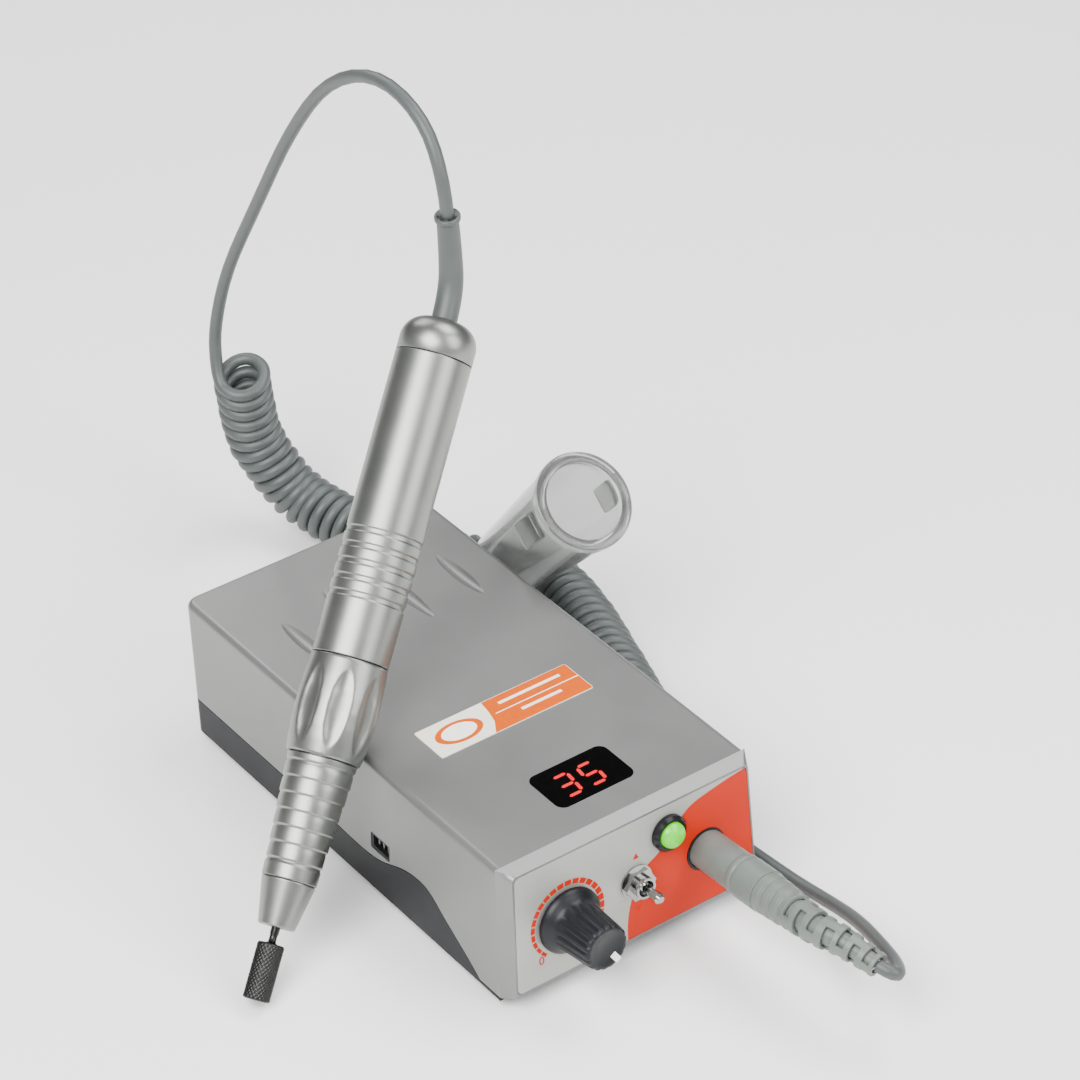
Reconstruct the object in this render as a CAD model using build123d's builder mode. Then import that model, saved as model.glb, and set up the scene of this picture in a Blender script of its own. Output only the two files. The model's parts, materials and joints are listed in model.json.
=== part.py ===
"""Electric nail drill: control box, handpiece, plug, curly cord and a clear handpiece cup.

Frame: +X to the right of the front panel, +Y to the back, +Z up, floor at z = 0,
origin under the control box, 70.5 behind the top of its front. Sizes are in millimetres.
"""

import os
from math import cos, radians, sin, tan

from build123d import *

os.makedirs("parts", exist_ok=True)

# Control box
case_width = 80.0
case_front = -70.5
case_back = 73.5
case_top = 43.6
case_floor = 3.2
side_flare = 1.36
back_undercut = 4.3
front_lean = 4.5
shell_wall = 2.2
corner_round = 4.0
edge_round = 1.9
seam_gap = 0.3
seam_back = 13.6
seam_peak = 19.0
seam_front = 4.2

# Raised bezel and front panel
bezel_depth = 4.1
bezel_side = 2.7
bezel_bottom = 2.5
bezel_top = 1.97
panel_round = 1.6
panel_gap = 0.15
panel_thickness = 2.0
overlay_thickness = 0.3
panel_ledge = 1.4

# Centres on the front panel, from its middle and from the foot of the front
knob_place = (-22.0, 19.2)
toggle_place = (0.2, 19.8)
lamp_place = (11.1, 30.2)
jack_place = (23.0, 19.0)

# Controls
pot_bushing = 3.5
pot_bore = 3.05
pot_shaft_radius = 2.95
knob_skirt = 9.4
knob_height = 17.0
knob_lift = 0.8
toggle_bushing = 3.0
toggle_bore = 2.0
toggle_ball = 1.92
toggle_reach = 10.6
lamp_barrel = 4.0
lamp_flange = 5.2
lamp_lens = 3.6
jack_sleeve = 6.1
jack_bore = 5.55
plug_radius = 5.45
plug_depth = 8.0
hole_gap = 0.1

# Top of the box
window_size = (24.4, 15.3)
window_centre = (-0.3, -54.0)
window_round = 2.6
window_thickness = 1.8
label_size = (49.0, 12.8)
label_centre = (0.2, -20.0)
label_thickness = 0.25
groove_spacing = 17.0
groove_radius = 2.9
groove_height = 1.9
groove_long = (15.0, 63.0)
groove_short = (18.0, 55.0)

# Feet, screws and what the box holds
foot_height = case_floor
foot_radius = 5.0
foot_x = 33.5
foot_front = -58.0
foot_back = 58.5
screw_radius = 1.2
screw_head = 2.5
boss_radius = 3.1
board_size = (60.0, 92.0)
board_thickness = 1.6
board_level = 28.0
board_middle = 9.0
post_radius = 2.4
post_x = 26.0
post_y = 41.0
cell_radius = 9.2
cell_length = 65.0
cell_middle = 4.0
tray_thickness = 1.2
port_size = (8.4, 5.0)
port_place = (-20.5, 18.6)
port_depth = 7.0

# Clear handpiece cup beside the box
cup_mouth = (57.2, 20.0, 64.2)
cup_angle = 49.0
cup_length = 60.0
cup_mouth_radius = 14.3
cup_end_radius = 10.2
cup_wall = 1.8
cup_lip_wall = 3.2
cup_lug = (7.0, 8.0, 1.2)

# Handpiece: the axis starts at the middle of the bit's end face
bit_end = (-90.4, -35.2, 2.8)
handpiece_rise = 43.8
handpiece_turn = 58.5
bit_radius = 3.65
bit_length = 15.0
shank_radius = 1.175
shank_end = 44.0
nose_start = 19.2
nose_cap_radius = 4.9
cone_end = 31.4
cone_radius = 7.08
collar_radius = 7.3
ring_pitch = 4.25
ribs_start = 35.9
rib_count = 6
nose_end = 63.7
nose_radius = 9.25
nose_sleeve = 8.2
ring_start = 63.9
ring_end = 90.0
ring_radius = 11.2
flute_count = 8
flute_radius = 2.4
flute_depth = 1.0
barrel_start = 90.2
barrel_end = 171.9
barrel_radius = 10.25
barrel_wall = 0.95
barrel_groove_start = 106.2
barrel_groove_count = 5
barrel_groove_depth = 0.4
cap_end = 182.4
cap_round = 6.4
running_gap = 0.08

# Cord
cord_radius = 1.85
coil_radius = 8.6
floor_line = 2.05
boot_base = 3.5
boot_tip = 2.95
relief_tip = 3.35
cord_gap = 0.02

boot_route = [(26.5, 36.5, 134.4), (27.6, 38.0, 146.0), (26.3, 37.2, 158.0)]
loop_route = [
    (26.3, 37.2, 158.02),
    (25.2, 36.5, 168.2),
    (26.0, 45.5, 182.5),
    (26.0, 66.0, 187.0),
    (26.0, 90.0, 174.5),
    (26.0, 110.5, 149.0),
    (26.0, 129.0, 118.0),
    (25.0, 146.0, 88.5),
    (22.5, 150.5, 68.0),
    (21.3, 147.8, 55.2),
]
coil_route = [
    (26.6, 144.3, 54.0),
    (26.6, 144.0, 36.0),
    (28.4, 140.6, 21.5),
    (33.4, 132.6, 10.0),
    (40.0, 118.0, 8.8),
    (47.0, 101.5, 8.8),
    (57.0, 87.5, 8.8),
    (68.5, 75.5, 8.8),
    (73.5, 60.0, 8.8),
    (71.5, 42.0, 8.8),
    (66.5, 25.0, 8.8),
    (61.0, 8.0, 8.8),
    (56.0, -8.0, 8.8),
]
tail_route = [
    (56.0, -8.02, 2.05),
    (51.9, -21.0, 2.05),
    (48.0, -36.0, 2.05),
    (46.3, -51.5, 2.05),
    (47.5, -67.0, 2.05),
    (48.5, -83.0, 2.4),
    (47.5, -97.0, 6.0),
    (44.5, -112.5, 11.5),
    (39.5, -128.0, 15.8),
    (35.0, -138.5, 19.6),
    (29.4, -145.0, 23.0),
    (27.9, -138.9, 23.7),
]


# Planes of the front and of the handpiece
case_rise = case_top - case_floor
front_toe = case_rise * tan(radians(front_lean))
front_rise = case_rise / cos(radians(front_lean))
front_plane = Plane(
    origin=(0, case_front - front_toe, case_floor),
    x_dir=(1, 0, 0),
    z_dir=(0, -cos(radians(front_lean)), sin(radians(front_lean))),
)
panel_plane = front_plane.offset(bezel_depth)
panel_low_half = case_width / 2 + side_flare - bezel_side
panel_high_half = case_width / 2 - bezel_side
panel_low = bezel_bottom
panel_high = front_rise - bezel_top


def seat(place):
    """Plane on the front panel, at a place on it, with its normal outwards."""
    origin = panel_plane.from_local_coords((place[0], place[1], 0))
    return Plane(origin=origin, x_dir=(1, 0, 0), z_dir=panel_plane.z_dir)


def spin(plane):
    """Axis of a turned piece that stands on a plane."""
    return Axis(plane.origin, plane.z_dir)


def turned_face(plane, *points):
    """Half section of a turned piece: points are (radius, height above the plane)."""
    section = Plane(origin=plane.origin, x_dir=plane.x_dir, z_dir=-plane.y_dir)
    with BuildSketch(section) as outline:
        with BuildLine():
            Polyline(*points, close=True)
        make_face()
    return outline.sketch


def cord_path(route, name):
    """Runs of a cord joined by tangent arcs as large as the runs allow."""
    points = [Vector(*point) for point in route]
    radii = []
    for before, corner, after in zip(points, points[1:], points[2:]):
        turn = (corner - before).get_angle(after - corner)
        shorter = min((corner - before).length, (after - corner).length)
        radii.append(0.45 * shorter / tan(radians(turn) / 2))
    print(name, "arc radii", [round(radius, 1) for radius in radii])
    with BuildLine() as path:
        FilletPolyline(*points, radius=radii)
    wire = path.wires()[0]
    print(name, "length", round(wire.length, 1))
    return wire


def case_body(inset):
    """Closed outline of the box, moved inwards by an inset."""
    half = case_width / 2 - inset
    lean = (case_rise, 0, side_flare)
    with BuildPart() as body:
        with BuildSketch(Plane.YZ):
            with BuildLine():
                Polyline(
                    (case_front, case_top),
                    (case_back, case_top),
                    (case_back - back_undercut, case_floor),
                    (case_front - front_toe, case_floor),
                    close=True,
                )
            make_face()
            if inset > 0:
                offset(amount=-inset, kind=Kind.INTERSECTION)
        extrude(amount=half + 2 * side_flare, both=True)
        for side in (1, -1):
            inwards = (-side * lean[0], 0, -lean[2])
            wall = Plane(origin=(side * half, 0, case_top), z_dir=inwards)
            split(bisect_by=wall, keep=Keep.TOP)
        uprights = body.faces().sort_by(Axis.Y)[-1].edges().sort_by(Axis.X)
        fillet([uprights[0], uprights[-1]], radius=max(corner_round - inset, 0.5))
        rim = body.faces().sort_by(Axis.Z)[-1].edges().sort_by(Axis.Y)[1:]
        fillet(rim, radius=max(edge_round - inset, 0.3))
    return body.part


def panel_face(plane, margin):
    """Outline of the front panel with a margin left round it."""
    low = panel_low + margin
    high = panel_high - margin
    with BuildSketch(plane) as outline:
        Polygon(
            (-panel_low_half + margin, low),
            (panel_low_half - margin, low),
            (panel_high_half - margin, high),
            (-panel_high_half + margin, high),
            align=None,
        )
        fillet(outline.vertices(), radius=panel_round)
    return outline.sketch


def below_seam(drop):
    """Side view of everything under the seam between the shell and the base."""
    back = (2 * case_back, seam_back - drop)
    rear = (6.0, seam_back - drop)
    peak = (-38.0, seam_peak - drop)
    front = (-65.0, seam_front - drop)
    with BuildSketch(Plane.YZ) as outline:
        with BuildLine():
            Line(back, rear)
            Spline(rear, (-22.0, 14.6 - drop), peak, tangents=((-1, 0), (-1, 0)))
            Spline(peak, (-47.5, 15.2 - drop), front, tangents=((-1, 0), (-0.8, -0.6)))
            Polyline(
                front,
                (2 * case_front, seam_front - drop),
                (2 * case_front, -9),
                (2 * case_back, -9),
                back,
            )
        make_face()
    return outline.sketch


knob_seat = seat(knob_place)
toggle_seat = seat(toggle_place)
lamp_seat = seat(lamp_place)
jack_seat = seat(jack_place)
foot_spots = [(side * foot_x, y) for side in (-1, 1) for y in (foot_front, foot_back)]
post_spots = [(side * post_x, board_middle + end * post_y) for side in (-1, 1) for end in (-1, 1)]
inner_top = case_top - shell_wall
inner_floor = case_floor + shell_wall
panel_back = -(overlay_thickness + panel_thickness)

# Silver top shell with its raised front bezel
with BuildPart() as top_shell:
    add(case_body(0))
    with BuildSketch(front_plane) as bezel_root:
        Polygon(
            (-case_width / 2 - side_flare, 0),
            (case_width / 2 + side_flare, 0),
            (case_width / 2, front_rise),
            (-case_width / 2, front_rise),
            align=None,
        )
    with BuildSketch(panel_plane) as bezel_front:
        Polygon(
            (-panel_low_half - 0.5, panel_low - 0.5),
            (panel_low_half + 0.5, panel_low - 0.5),
            (panel_high_half + 0.5, panel_high + 0.5),
            (-panel_high_half - 0.5, panel_high + 0.5),
            align=None,
        )
        fillet(bezel_front.vertices(), radius=panel_round)
    loft(ruled=True)
    add(case_body(shell_wall), mode=Mode.SUBTRACT)
    extrude(panel_face(panel_plane, 0), amount=panel_back, mode=Mode.SUBTRACT)
    extrude(
        panel_face(panel_plane, panel_ledge),
        amount=-(bezel_depth + shell_wall + 0.5),
        mode=Mode.SUBTRACT,
    )
    with BuildSketch(Plane.XY.offset(inner_top + 0.1)):
        with Locations(*foot_spots):
            Circle(boss_radius)
    extrude(amount=-(inner_top + 0.1 - inner_floor - 0.3))
    with BuildSketch(Plane.XY.offset(inner_top + 0.1)):
        with Locations(*post_spots):
            Circle(post_radius)
    extrude(amount=-(inner_top + 0.1 - board_level - board_thickness - 0.05))
    with BuildSketch(Plane.XY.offset(inner_floor)):
        with Locations(*foot_spots):
            Circle(screw_radius + 0.05)
    extrude(amount=16, mode=Mode.SUBTRACT)
    with BuildSketch(Plane.XY.offset(board_level)):
        with Locations(*post_spots):
            Circle(0.95)
    extrude(amount=8, mode=Mode.SUBTRACT)
    extrude(below_seam(0), amount=case_width, both=True, mode=Mode.SUBTRACT)
    with BuildSketch(Plane.XY.offset(case_top)):
        with Locations(window_centre):
            RectangleRounded(window_size[0] + 0.2, window_size[1] + 0.2, window_round + 0.1)
    extrude(amount=-shell_wall - 0.5, mode=Mode.SUBTRACT)
    with BuildSketch(Plane.YZ.offset(-case_width)):
        with Locations(port_place):
            RectangleRounded(port_size[0] + 0.2, port_size[1] + 0.2, 0.6)
    extrude(amount=case_width / 2 + 5, mode=Mode.SUBTRACT)
    # Spindle-shaped grooves along the rear half of the top
    for step, span in ((-1.5, groove_short), (-0.5, groove_long), (0.5, groove_long), (1.5, groove_short)):
        across = step * groove_spacing + 1.0
        start = (span[0], case_top + groove_height)
        middle = ((span[0] + span[1]) / 2, case_top + groove_height - groove_radius)
        finish = (span[1], case_top + groove_height)
        with BuildSketch(Plane.YZ.offset(across)):
            with BuildLine():
                ThreePointArc(start, middle, finish)
                Line(finish, start)
            make_face()
        groove_axis = Axis((across, 0, case_top + groove_height), (0, 1, 0))
        revolve(axis=groove_axis, mode=Mode.SUBTRACT)
top_shell.part.label = "top_shell"
export_step(top_shell.part, "parts/top_shell.step")

# Dark base tray
with BuildPart() as base_tray:
    add(case_body(0))
    add(case_body(shell_wall), mode=Mode.SUBTRACT)
    extrude(below_seam(seam_gap), amount=case_width, both=True, mode=Mode.INTERSECT)
    with BuildSketch(Plane.XY.offset(case_floor)):
        with Locations(*foot_spots):
            Circle(screw_radius + 0.2)
    extrude(amount=shell_wall + 0.1, mode=Mode.SUBTRACT)
    with BuildSketch(Plane.YZ.offset(-case_width)):
        with Locations(port_place):
            RectangleRounded(port_size[0] + 0.2, port_size[1] + 0.2, 0.6)
    extrude(amount=case_width / 2 + 5, mode=Mode.SUBTRACT)
base_tray.part.label = "base_tray"
export_step(base_tray.part, "parts/base_tray.step")

# Rubber feet and the screws through them
with BuildPart() as feet:
    for spot in foot_spots:
        stand = Plane(origin=(spot[0], spot[1], 0))
        foot_section = turned_face(
            stand,
            (screw_head + 0.3, 0),
            (foot_radius - 1.0, 0),
            (foot_radius - 0.2, 0.8),
            (foot_radius, foot_height),
            (screw_radius + 0.2, foot_height),
            (screw_radius + 0.2, foot_height - 0.9),
            (screw_head + 0.3, foot_height - 0.9),
        )
        revolve(foot_section, axis=spin(stand))
feet.part.label = "feet"
export_step(feet.part, "parts/feet.step")

with BuildPart() as case_screws:
    for spot in foot_spots:
        stand = Plane(origin=(spot[0], spot[1], 0))
        screw_section = turned_face(
            stand,
            (0, 0.7),
            (screw_head, 0.7),
            (screw_head, foot_height - 0.95),
            (screw_radius, foot_height - 0.95),
            (screw_radius, 19.0),
            (0, 20.0),
        )
        revolve(screw_section, axis=spin(stand))
case_screws.part.label = "case_screws"
export_step(case_screws.part, "parts/case_screws.step")

# Front panel plate and its printed overlay
for panel_name, margin, back, thickness in (
    ("front_panel", panel_gap, -overlay_thickness, -panel_thickness + 0.05),
    ("front_overlay", panel_gap, 0.0, -overlay_thickness + 0.02),
):
    with BuildPart() as front_sheet:
        extrude(panel_face(panel_plane.offset(back), margin), amount=thickness)
        for place, radius in (
            (knob_place, pot_bushing),
            (toggle_place, toggle_bushing),
            (lamp_place, lamp_barrel),
            (jack_place, jack_sleeve),
        ):
            with BuildSketch(seat(place)):
                Circle(radius + hole_gap)
            extrude(amount=-5, mode=Mode.SUBTRACT)
    front_sheet.part.label = panel_name
    export_step(front_sheet.part, "parts/" + panel_name + ".step")

# Speed control: body with bushing, nut, turning shaft, knob and its pointer
with BuildPart() as speed_pot:
    pot_section = turned_face(
        knob_seat,
        (pot_bore, panel_back - 10.0),
        (8.4, panel_back - 10.0),
        (8.4, panel_back - 1.0),
        (7.6, panel_back - 0.05),
        (pot_bushing, panel_back - 0.05),
        (pot_bushing, 1.9),
        (pot_bore, 1.9),
    )
    revolve(pot_section, axis=spin(knob_seat))
    with BuildSketch(knob_seat.offset(panel_back - 4.0)):
        with Locations((-5, -10), (0, -10), (5, -10)):
            Rectangle(1.4, 5.0)
    extrude(amount=-0.6)
speed_pot.part.label = "speed_pot"
export_step(speed_pot.part, "parts/speed_pot.step")

with BuildPart() as pot_nut:
    with BuildSketch(knob_seat.offset(0.03)):
        RegularPolygon(5.6, 6)
        Circle(pot_bushing + 0.05, mode=Mode.SUBTRACT)
    extrude(amount=1.6)
pot_nut.part.label = "pot_nut"
export_step(pot_nut.part, "parts/pot_nut.step")

with BuildPart() as pot_shaft:
    shaft_section = turned_face(
        knob_seat,
        (0, panel_back - 9.0),
        (pot_shaft_radius, panel_back - 9.0),
        (pot_shaft_radius, knob_height - 5.0),
        (0, knob_height - 5.0),
    )
    revolve(shaft_section, axis=spin(knob_seat))
    with BuildSketch(knob_seat.offset(3.5)):
        with Locations((0, pot_shaft_radius)):
            Rectangle(2 * pot_shaft_radius, 2.4)
    extrude(amount=knob_height, mode=Mode.SUBTRACT)
pot_shaft.part.label = "pot_shaft"
export_step(pot_shaft.part, "parts/pot_shaft.step")

pointer_turn = -57.0
with BuildPart() as speed_knob:
    knob_section = turned_face(
        knob_seat,
        (6.2, knob_lift),
        (knob_skirt, knob_lift),
        (knob_skirt, knob_lift + 1.2),
        (knob_skirt - 1.7, knob_lift + 3.0),
        (7.1, knob_lift + 4.4),
        (6.35, knob_height - 0.5),
        (5.85, knob_height),
        (0, knob_height),
        (0, knob_height - 4.9),
        (pot_shaft_radius + 0.05, knob_height - 4.9),
        (pot_shaft_radius + 0.05, 3.3),
        (6.2, 3.3),
    )
    revolve(knob_section, axis=spin(knob_seat))
    with BuildSketch(knob_seat.offset(knob_lift + 5.2)):
        with PolarLocations(9.35, 18):
            Circle(2.6)
    extrude(amount=knob_height, mode=Mode.SUBTRACT)
    with BuildSketch(knob_seat.offset(knob_height)):
        with PolarLocations(4.6, 1, start_angle=pointer_turn):
            Rectangle(3.6, 1.9)
    extrude(amount=-0.5, mode=Mode.SUBTRACT)
speed_knob.part.label = "speed_knob"
export_step(speed_knob.part, "parts/speed_knob.step")

with BuildPart() as knob_pointer:
    with BuildSketch(knob_seat.offset(knob_height - 0.48)):
        with PolarLocations(4.55, 1, start_angle=pointer_turn):
            Rectangle(3.2, 1.8)
    extrude(amount=0.53)
knob_pointer.part.label = "knob_pointer"
export_step(knob_pointer.part, "parts/knob_pointer.step")

# Direction switch: body with threaded bushing, nut, and the bat lever on its ball
with BuildPart() as toggle_switch:
    with BuildSketch(toggle_seat.offset(panel_back - 0.05)):
        Rectangle(8.0, 13.0)
    extrude(amount=-9.0)
    with BuildSketch(toggle_seat.offset(panel_back - 9.0)):
        with Locations((0, -4.7), (0, 0), (0, 4.7)):
            Rectangle(2.0, 0.8)
    extrude(amount=-4.0)
    bushing_section = turned_face(
        toggle_seat,
        (0, panel_back - 0.1),
        (toggle_bushing, panel_back - 0.1),
        (toggle_bushing, 4.4),
        (toggle_bore + 0.35, 4.4),
        (toggle_bore, 2.6),
        (toggle_bore, 0.2),
        (0, 0.2),
    )
    revolve(bushing_section, axis=spin(toggle_seat))
toggle_switch.part.label = "toggle_switch"
export_step(toggle_switch.part, "parts/toggle_switch.step")

with BuildPart() as toggle_nut:
    with BuildSketch(toggle_seat.offset(0.03)):
        Circle(4.9)
        Circle(toggle_bushing + 0.05, mode=Mode.SUBTRACT)
    extrude(amount=0.5)
    with BuildSketch(toggle_seat.offset(0.5)):
        RegularPolygon(4.7, 6)
        Circle(toggle_bushing + 0.05, mode=Mode.SUBTRACT)
    extrude(amount=2.0)
toggle_nut.part.label = "toggle_nut"
export_step(toggle_nut.part, "parts/toggle_nut.step")

toggle_pivot = 2.15
with BuildPart() as toggle_lever:
    with Locations(toggle_seat.offset(toggle_pivot)):
        Sphere(toggle_ball)
    lever_section = turned_face(
        toggle_seat,
        (0, toggle_pivot),
        (0.95, toggle_pivot),
        (0.95, 5.0),
        (1.05, 5.4),
        (1.5, toggle_reach - 1.2),
        (1.5, toggle_reach - 0.8),
        (0.9, toggle_reach),
        (0, toggle_reach),
    )
    revolve(lever_section, axis=spin(toggle_seat))
toggle_lever.part.label = "toggle_lever"
export_step(toggle_lever.part, "parts/toggle_lever.step")

# Pilot lamp: bezel and green lens
with BuildPart() as lamp_bezel:
    bezel_section = turned_face(
        lamp_seat,
        (lamp_lens + 0.1, -9.0),
        (lamp_barrel, -9.0),
        (lamp_barrel, 0.03),
        (lamp_flange, 0.03),
        (lamp_flange, 1.2),
        (lamp_flange - 0.7, 2.0),
        (lamp_lens + 0.35, 2.0),
        (lamp_lens + 0.1, 1.6),
    )
    revolve(bezel_section, axis=spin(lamp_seat))
lamp_bezel.part.label = "lamp_bezel"
export_step(lamp_bezel.part, "parts/lamp_bezel.step")

with BuildPart() as lamp_cover:
    lens_section = turned_face(
        lamp_seat,
        (0, -6.0),
        (lamp_lens, -6.0),
        (lamp_lens, 2.4),
        (3.2, 3.3),
        (2.3, 4.0),
        (1.2, 4.4),
        (0, 4.5),
    )
    revolve(lens_section, axis=spin(lamp_seat))
lamp_cover.part.label = "lamp_cover"
export_step(lamp_cover.part, "parts/lamp_cover.step")

# Motor jack with its contact block, and the plug in it
with BuildPart() as motor_jack:
    jack_section = turned_face(
        jack_seat,
        (0, -15.0),
        (jack_sleeve + 1.4, -15.0),
        (jack_sleeve + 1.4, panel_back - 0.05),
        (jack_sleeve, panel_back - 0.05),
        (jack_sleeve, 0.2),
        (jack_bore, 0.2),
        (jack_bore, -plug_depth - 0.6),
        (4.3, -plug_depth - 0.6),
        (4.3, -1.6),
        (0, -1.6),
    )
    revolve(jack_section, axis=spin(jack_seat))
    with BuildSketch(jack_seat.offset(-1.6)):
        with PolarLocations(2.6, 5):
            Circle(0.62)
    extrude(amount=-7.0, mode=Mode.SUBTRACT)
motor_jack.part.label = "motor_jack"
export_step(motor_jack.part, "parts/motor_jack.step")

with BuildPart() as plug_body:
    plug_section = turned_face(
        jack_seat,
        (4.5, -plug_depth),
        (plug_radius, -plug_depth),
        (plug_radius, 14.2),
        (plug_radius + 0.35, 14.6),
        (plug_radius + 0.35, 15.8),
        (plug_radius + 0.1, 16.0),
        (plug_radius + 0.1, 16.4),
        (plug_radius + 0.45, 16.6),
        (plug_radius + 0.45, 24.8),
        (0, 24.8),
        (0, -0.9),
        (4.5, -0.9),
    )
    revolve(plug_section, axis=spin(jack_seat))
plug_body.part.label = "plug_body"
export_step(plug_body.part, "parts/plug_body.step")

with BuildPart() as plug_pins:
    with BuildSketch(jack_seat.offset(-0.92)):
        with PolarLocations(2.6, 5):
            Circle(0.5)
    extrude(amount=-6.0)
plug_pins.part.label = "plug_pins"
export_step(plug_pins.part, "parts/plug_pins.step")

relief_end = Vector(*tail_route[-1])
relief_exit = (Vector(*tail_route[-2]) - relief_end).normalized()
relief_bend = (relief_end + jack_seat.from_local_coords(Vector(0, 0, 34.0))) / 2 + Vector(-0.6, 0.5, 0.7)
relief_heading = (relief_end - jack_seat.from_local_coords(Vector(0, 0, 34.0))).normalized()
with BuildPart() as plug_strain_relief:
    with BuildSketch(jack_seat.offset(24.83)) as relief_root:
        Circle(plug_radius + 0.3)
    with BuildSketch(jack_seat.offset(34.0)) as relief_start:
        Circle(plug_radius)
    with BuildSketch(Plane(origin=relief_bend, z_dir=relief_heading)) as relief_middle:
        Circle((plug_radius + relief_tip) / 2)
    with BuildSketch(Plane(origin=relief_end - relief_exit * cord_gap, z_dir=relief_exit)) as relief_last:
        Circle(relief_tip)
    loft(sections=[relief_root.sketch, relief_start.sketch], ruled=True)
    loft(sections=[relief_start.sketch, relief_middle.sketch, relief_last.sketch])
plug_strain_relief.part.label = "plug_strain_relief"
export_step(plug_strain_relief.part, "parts/plug_strain_relief.step")

# Display window, display module and the top label
with BuildPart() as display_window:
    with BuildSketch(Plane.XY.offset(case_top - window_thickness)):
        with Locations(window_centre):
            RectangleRounded(*window_size, window_round)
    extrude(amount=window_thickness + 0.1)
display_window.part.label = "display_window"
export_step(display_window.part, "parts/display_window.step")

with BuildPart() as display_module:
    with BuildSketch(Plane.XY.offset(inner_top - 0.05)):
        with Locations(window_centre):
            Rectangle(window_size[0] + 3, window_size[1] + 2.4)
    extrude(amount=-1.2)
    with BuildSketch(Plane.XY.offset(inner_top - 1.2)):
        with Locations(window_centre):
            Rectangle(window_size[0] - 2, window_size[1] - 2.4)
    extrude(amount=-5.5)
display_module.part.label = "display_module"
export_step(display_module.part, "parts/display_module.step")

with BuildPart() as top_label:
    with BuildSketch(Plane.XY.offset(case_top + 0.02)):
        with Locations(label_centre):
            RectangleRounded(*label_size, 0.5)
    extrude(amount=label_thickness)
top_label.part.label = "top_label"
export_step(top_label.part, "parts/top_label.step")

# Charging socket in the left side
port_face = -(case_width / 2 + side_flare * (case_top - port_place[1]) / case_rise)
with BuildPart() as charge_socket:
    with BuildSketch(Plane.YZ.offset(port_face + 0.3)):
        with Locations(port_place):
            RectangleRounded(*port_size, 0.5)
    extrude(amount=port_depth + 2.0)
    with BuildSketch(Plane.YZ.offset(port_face + 0.3)):
        with Locations(port_place):
            RectangleRounded(port_size[0] - 1.6, port_size[1] - 1.4, 0.3)
    extrude(amount=port_depth, mode=Mode.SUBTRACT)
charge_socket.part.label = "charge_socket"
export_step(charge_socket.part, "parts/charge_socket.step")

with BuildPart() as socket_blades:
    with BuildSketch(Plane.YZ.offset(port_face + 1.2)):
        with Locations(port_place):
            with GridLocations(2.1, 1, 3, 1):
                Rectangle(0.7, port_size[1] - 1.8)
    extrude(amount=port_depth - 0.95)
socket_blades.part.label = "socket_blades"
export_step(socket_blades.part, "parts/socket_blades.step")

# Main board with its parts and screws
with BuildPart() as main_board:
    with BuildSketch(Plane.XY.offset(board_level)):
        with Locations((0, board_middle)):
            Rectangle(*board_size)
        with Locations(*post_spots):
            Circle(1.1, mode=Mode.SUBTRACT)
    extrude(amount=board_thickness)
main_board.part.label = "main_board"
export_step(main_board.part, "parts/main_board.step")

with BuildPart() as board_parts:
    with BuildSketch(Plane.XY.offset(board_level + board_thickness + 0.02)):
        with Locations((-14, 30), (-2, 30)):
            Circle(4.0)
    extrude(amount=9.0)
    with BuildSketch(Plane.XY.offset(board_level + board_thickness + 0.02)):
        with Locations((12, -12), (12, 8), (-12, -6)):
            Rectangle(9.0, 9.0)
    extrude(amount=2.0)
board_parts.part.label = "board_parts"
export_step(board_parts.part, "parts/board_parts.step")

with BuildPart() as board_screws:
    for spot in post_spots:
        stand = Plane(origin=(spot[0], spot[1], board_level))
        board_screw_section = turned_face(
            stand, (0, -1.3), (1.9, -1.3), (1.9, -0.05), (0.85, -0.05), (0.85, 7.0), (0, 7.0)
        )
        revolve(board_screw_section, axis=spin(stand))
board_screws.part.label = "board_screws"
export_step(board_screws.part, "parts/board_screws.step")

# Battery tray and its three cells
cell_pitch = 2 * cell_radius + 0.6
tray_level = inner_floor + 0.05
cell_level = tray_level + tray_thickness + cell_radius + 0.05
with BuildPart() as battery_tray:
    with BuildSketch(Plane.XY.offset(tray_level)):
        with Locations((0, cell_middle)):
            Rectangle(2 * cell_pitch + 2 * cell_radius, cell_length + 6)
    extrude(amount=tray_thickness)
    with BuildSketch(Plane.XY.offset(tray_level + tray_thickness)):
        with Locations((0, cell_middle)):
            with GridLocations(1, cell_length + 4, 1, 2):
                Rectangle(2 * cell_pitch + 2 * cell_radius, 1.8)
    extrude(amount=11)
battery_tray.part.label = "battery_tray"
export_step(battery_tray.part, "parts/battery_tray.step")

with BuildPart() as battery_cells:
    with BuildSketch(Plane.XZ.offset(-(cell_middle + cell_length / 2))):
        with Locations((0, cell_level)):
            with GridLocations(cell_pitch, 1, 3, 1):
                Circle(cell_radius)
    extrude(amount=cell_length)
battery_cells.part.label = "battery_cells"
export_step(battery_cells.part, "parts/battery_cells.step")

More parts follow.
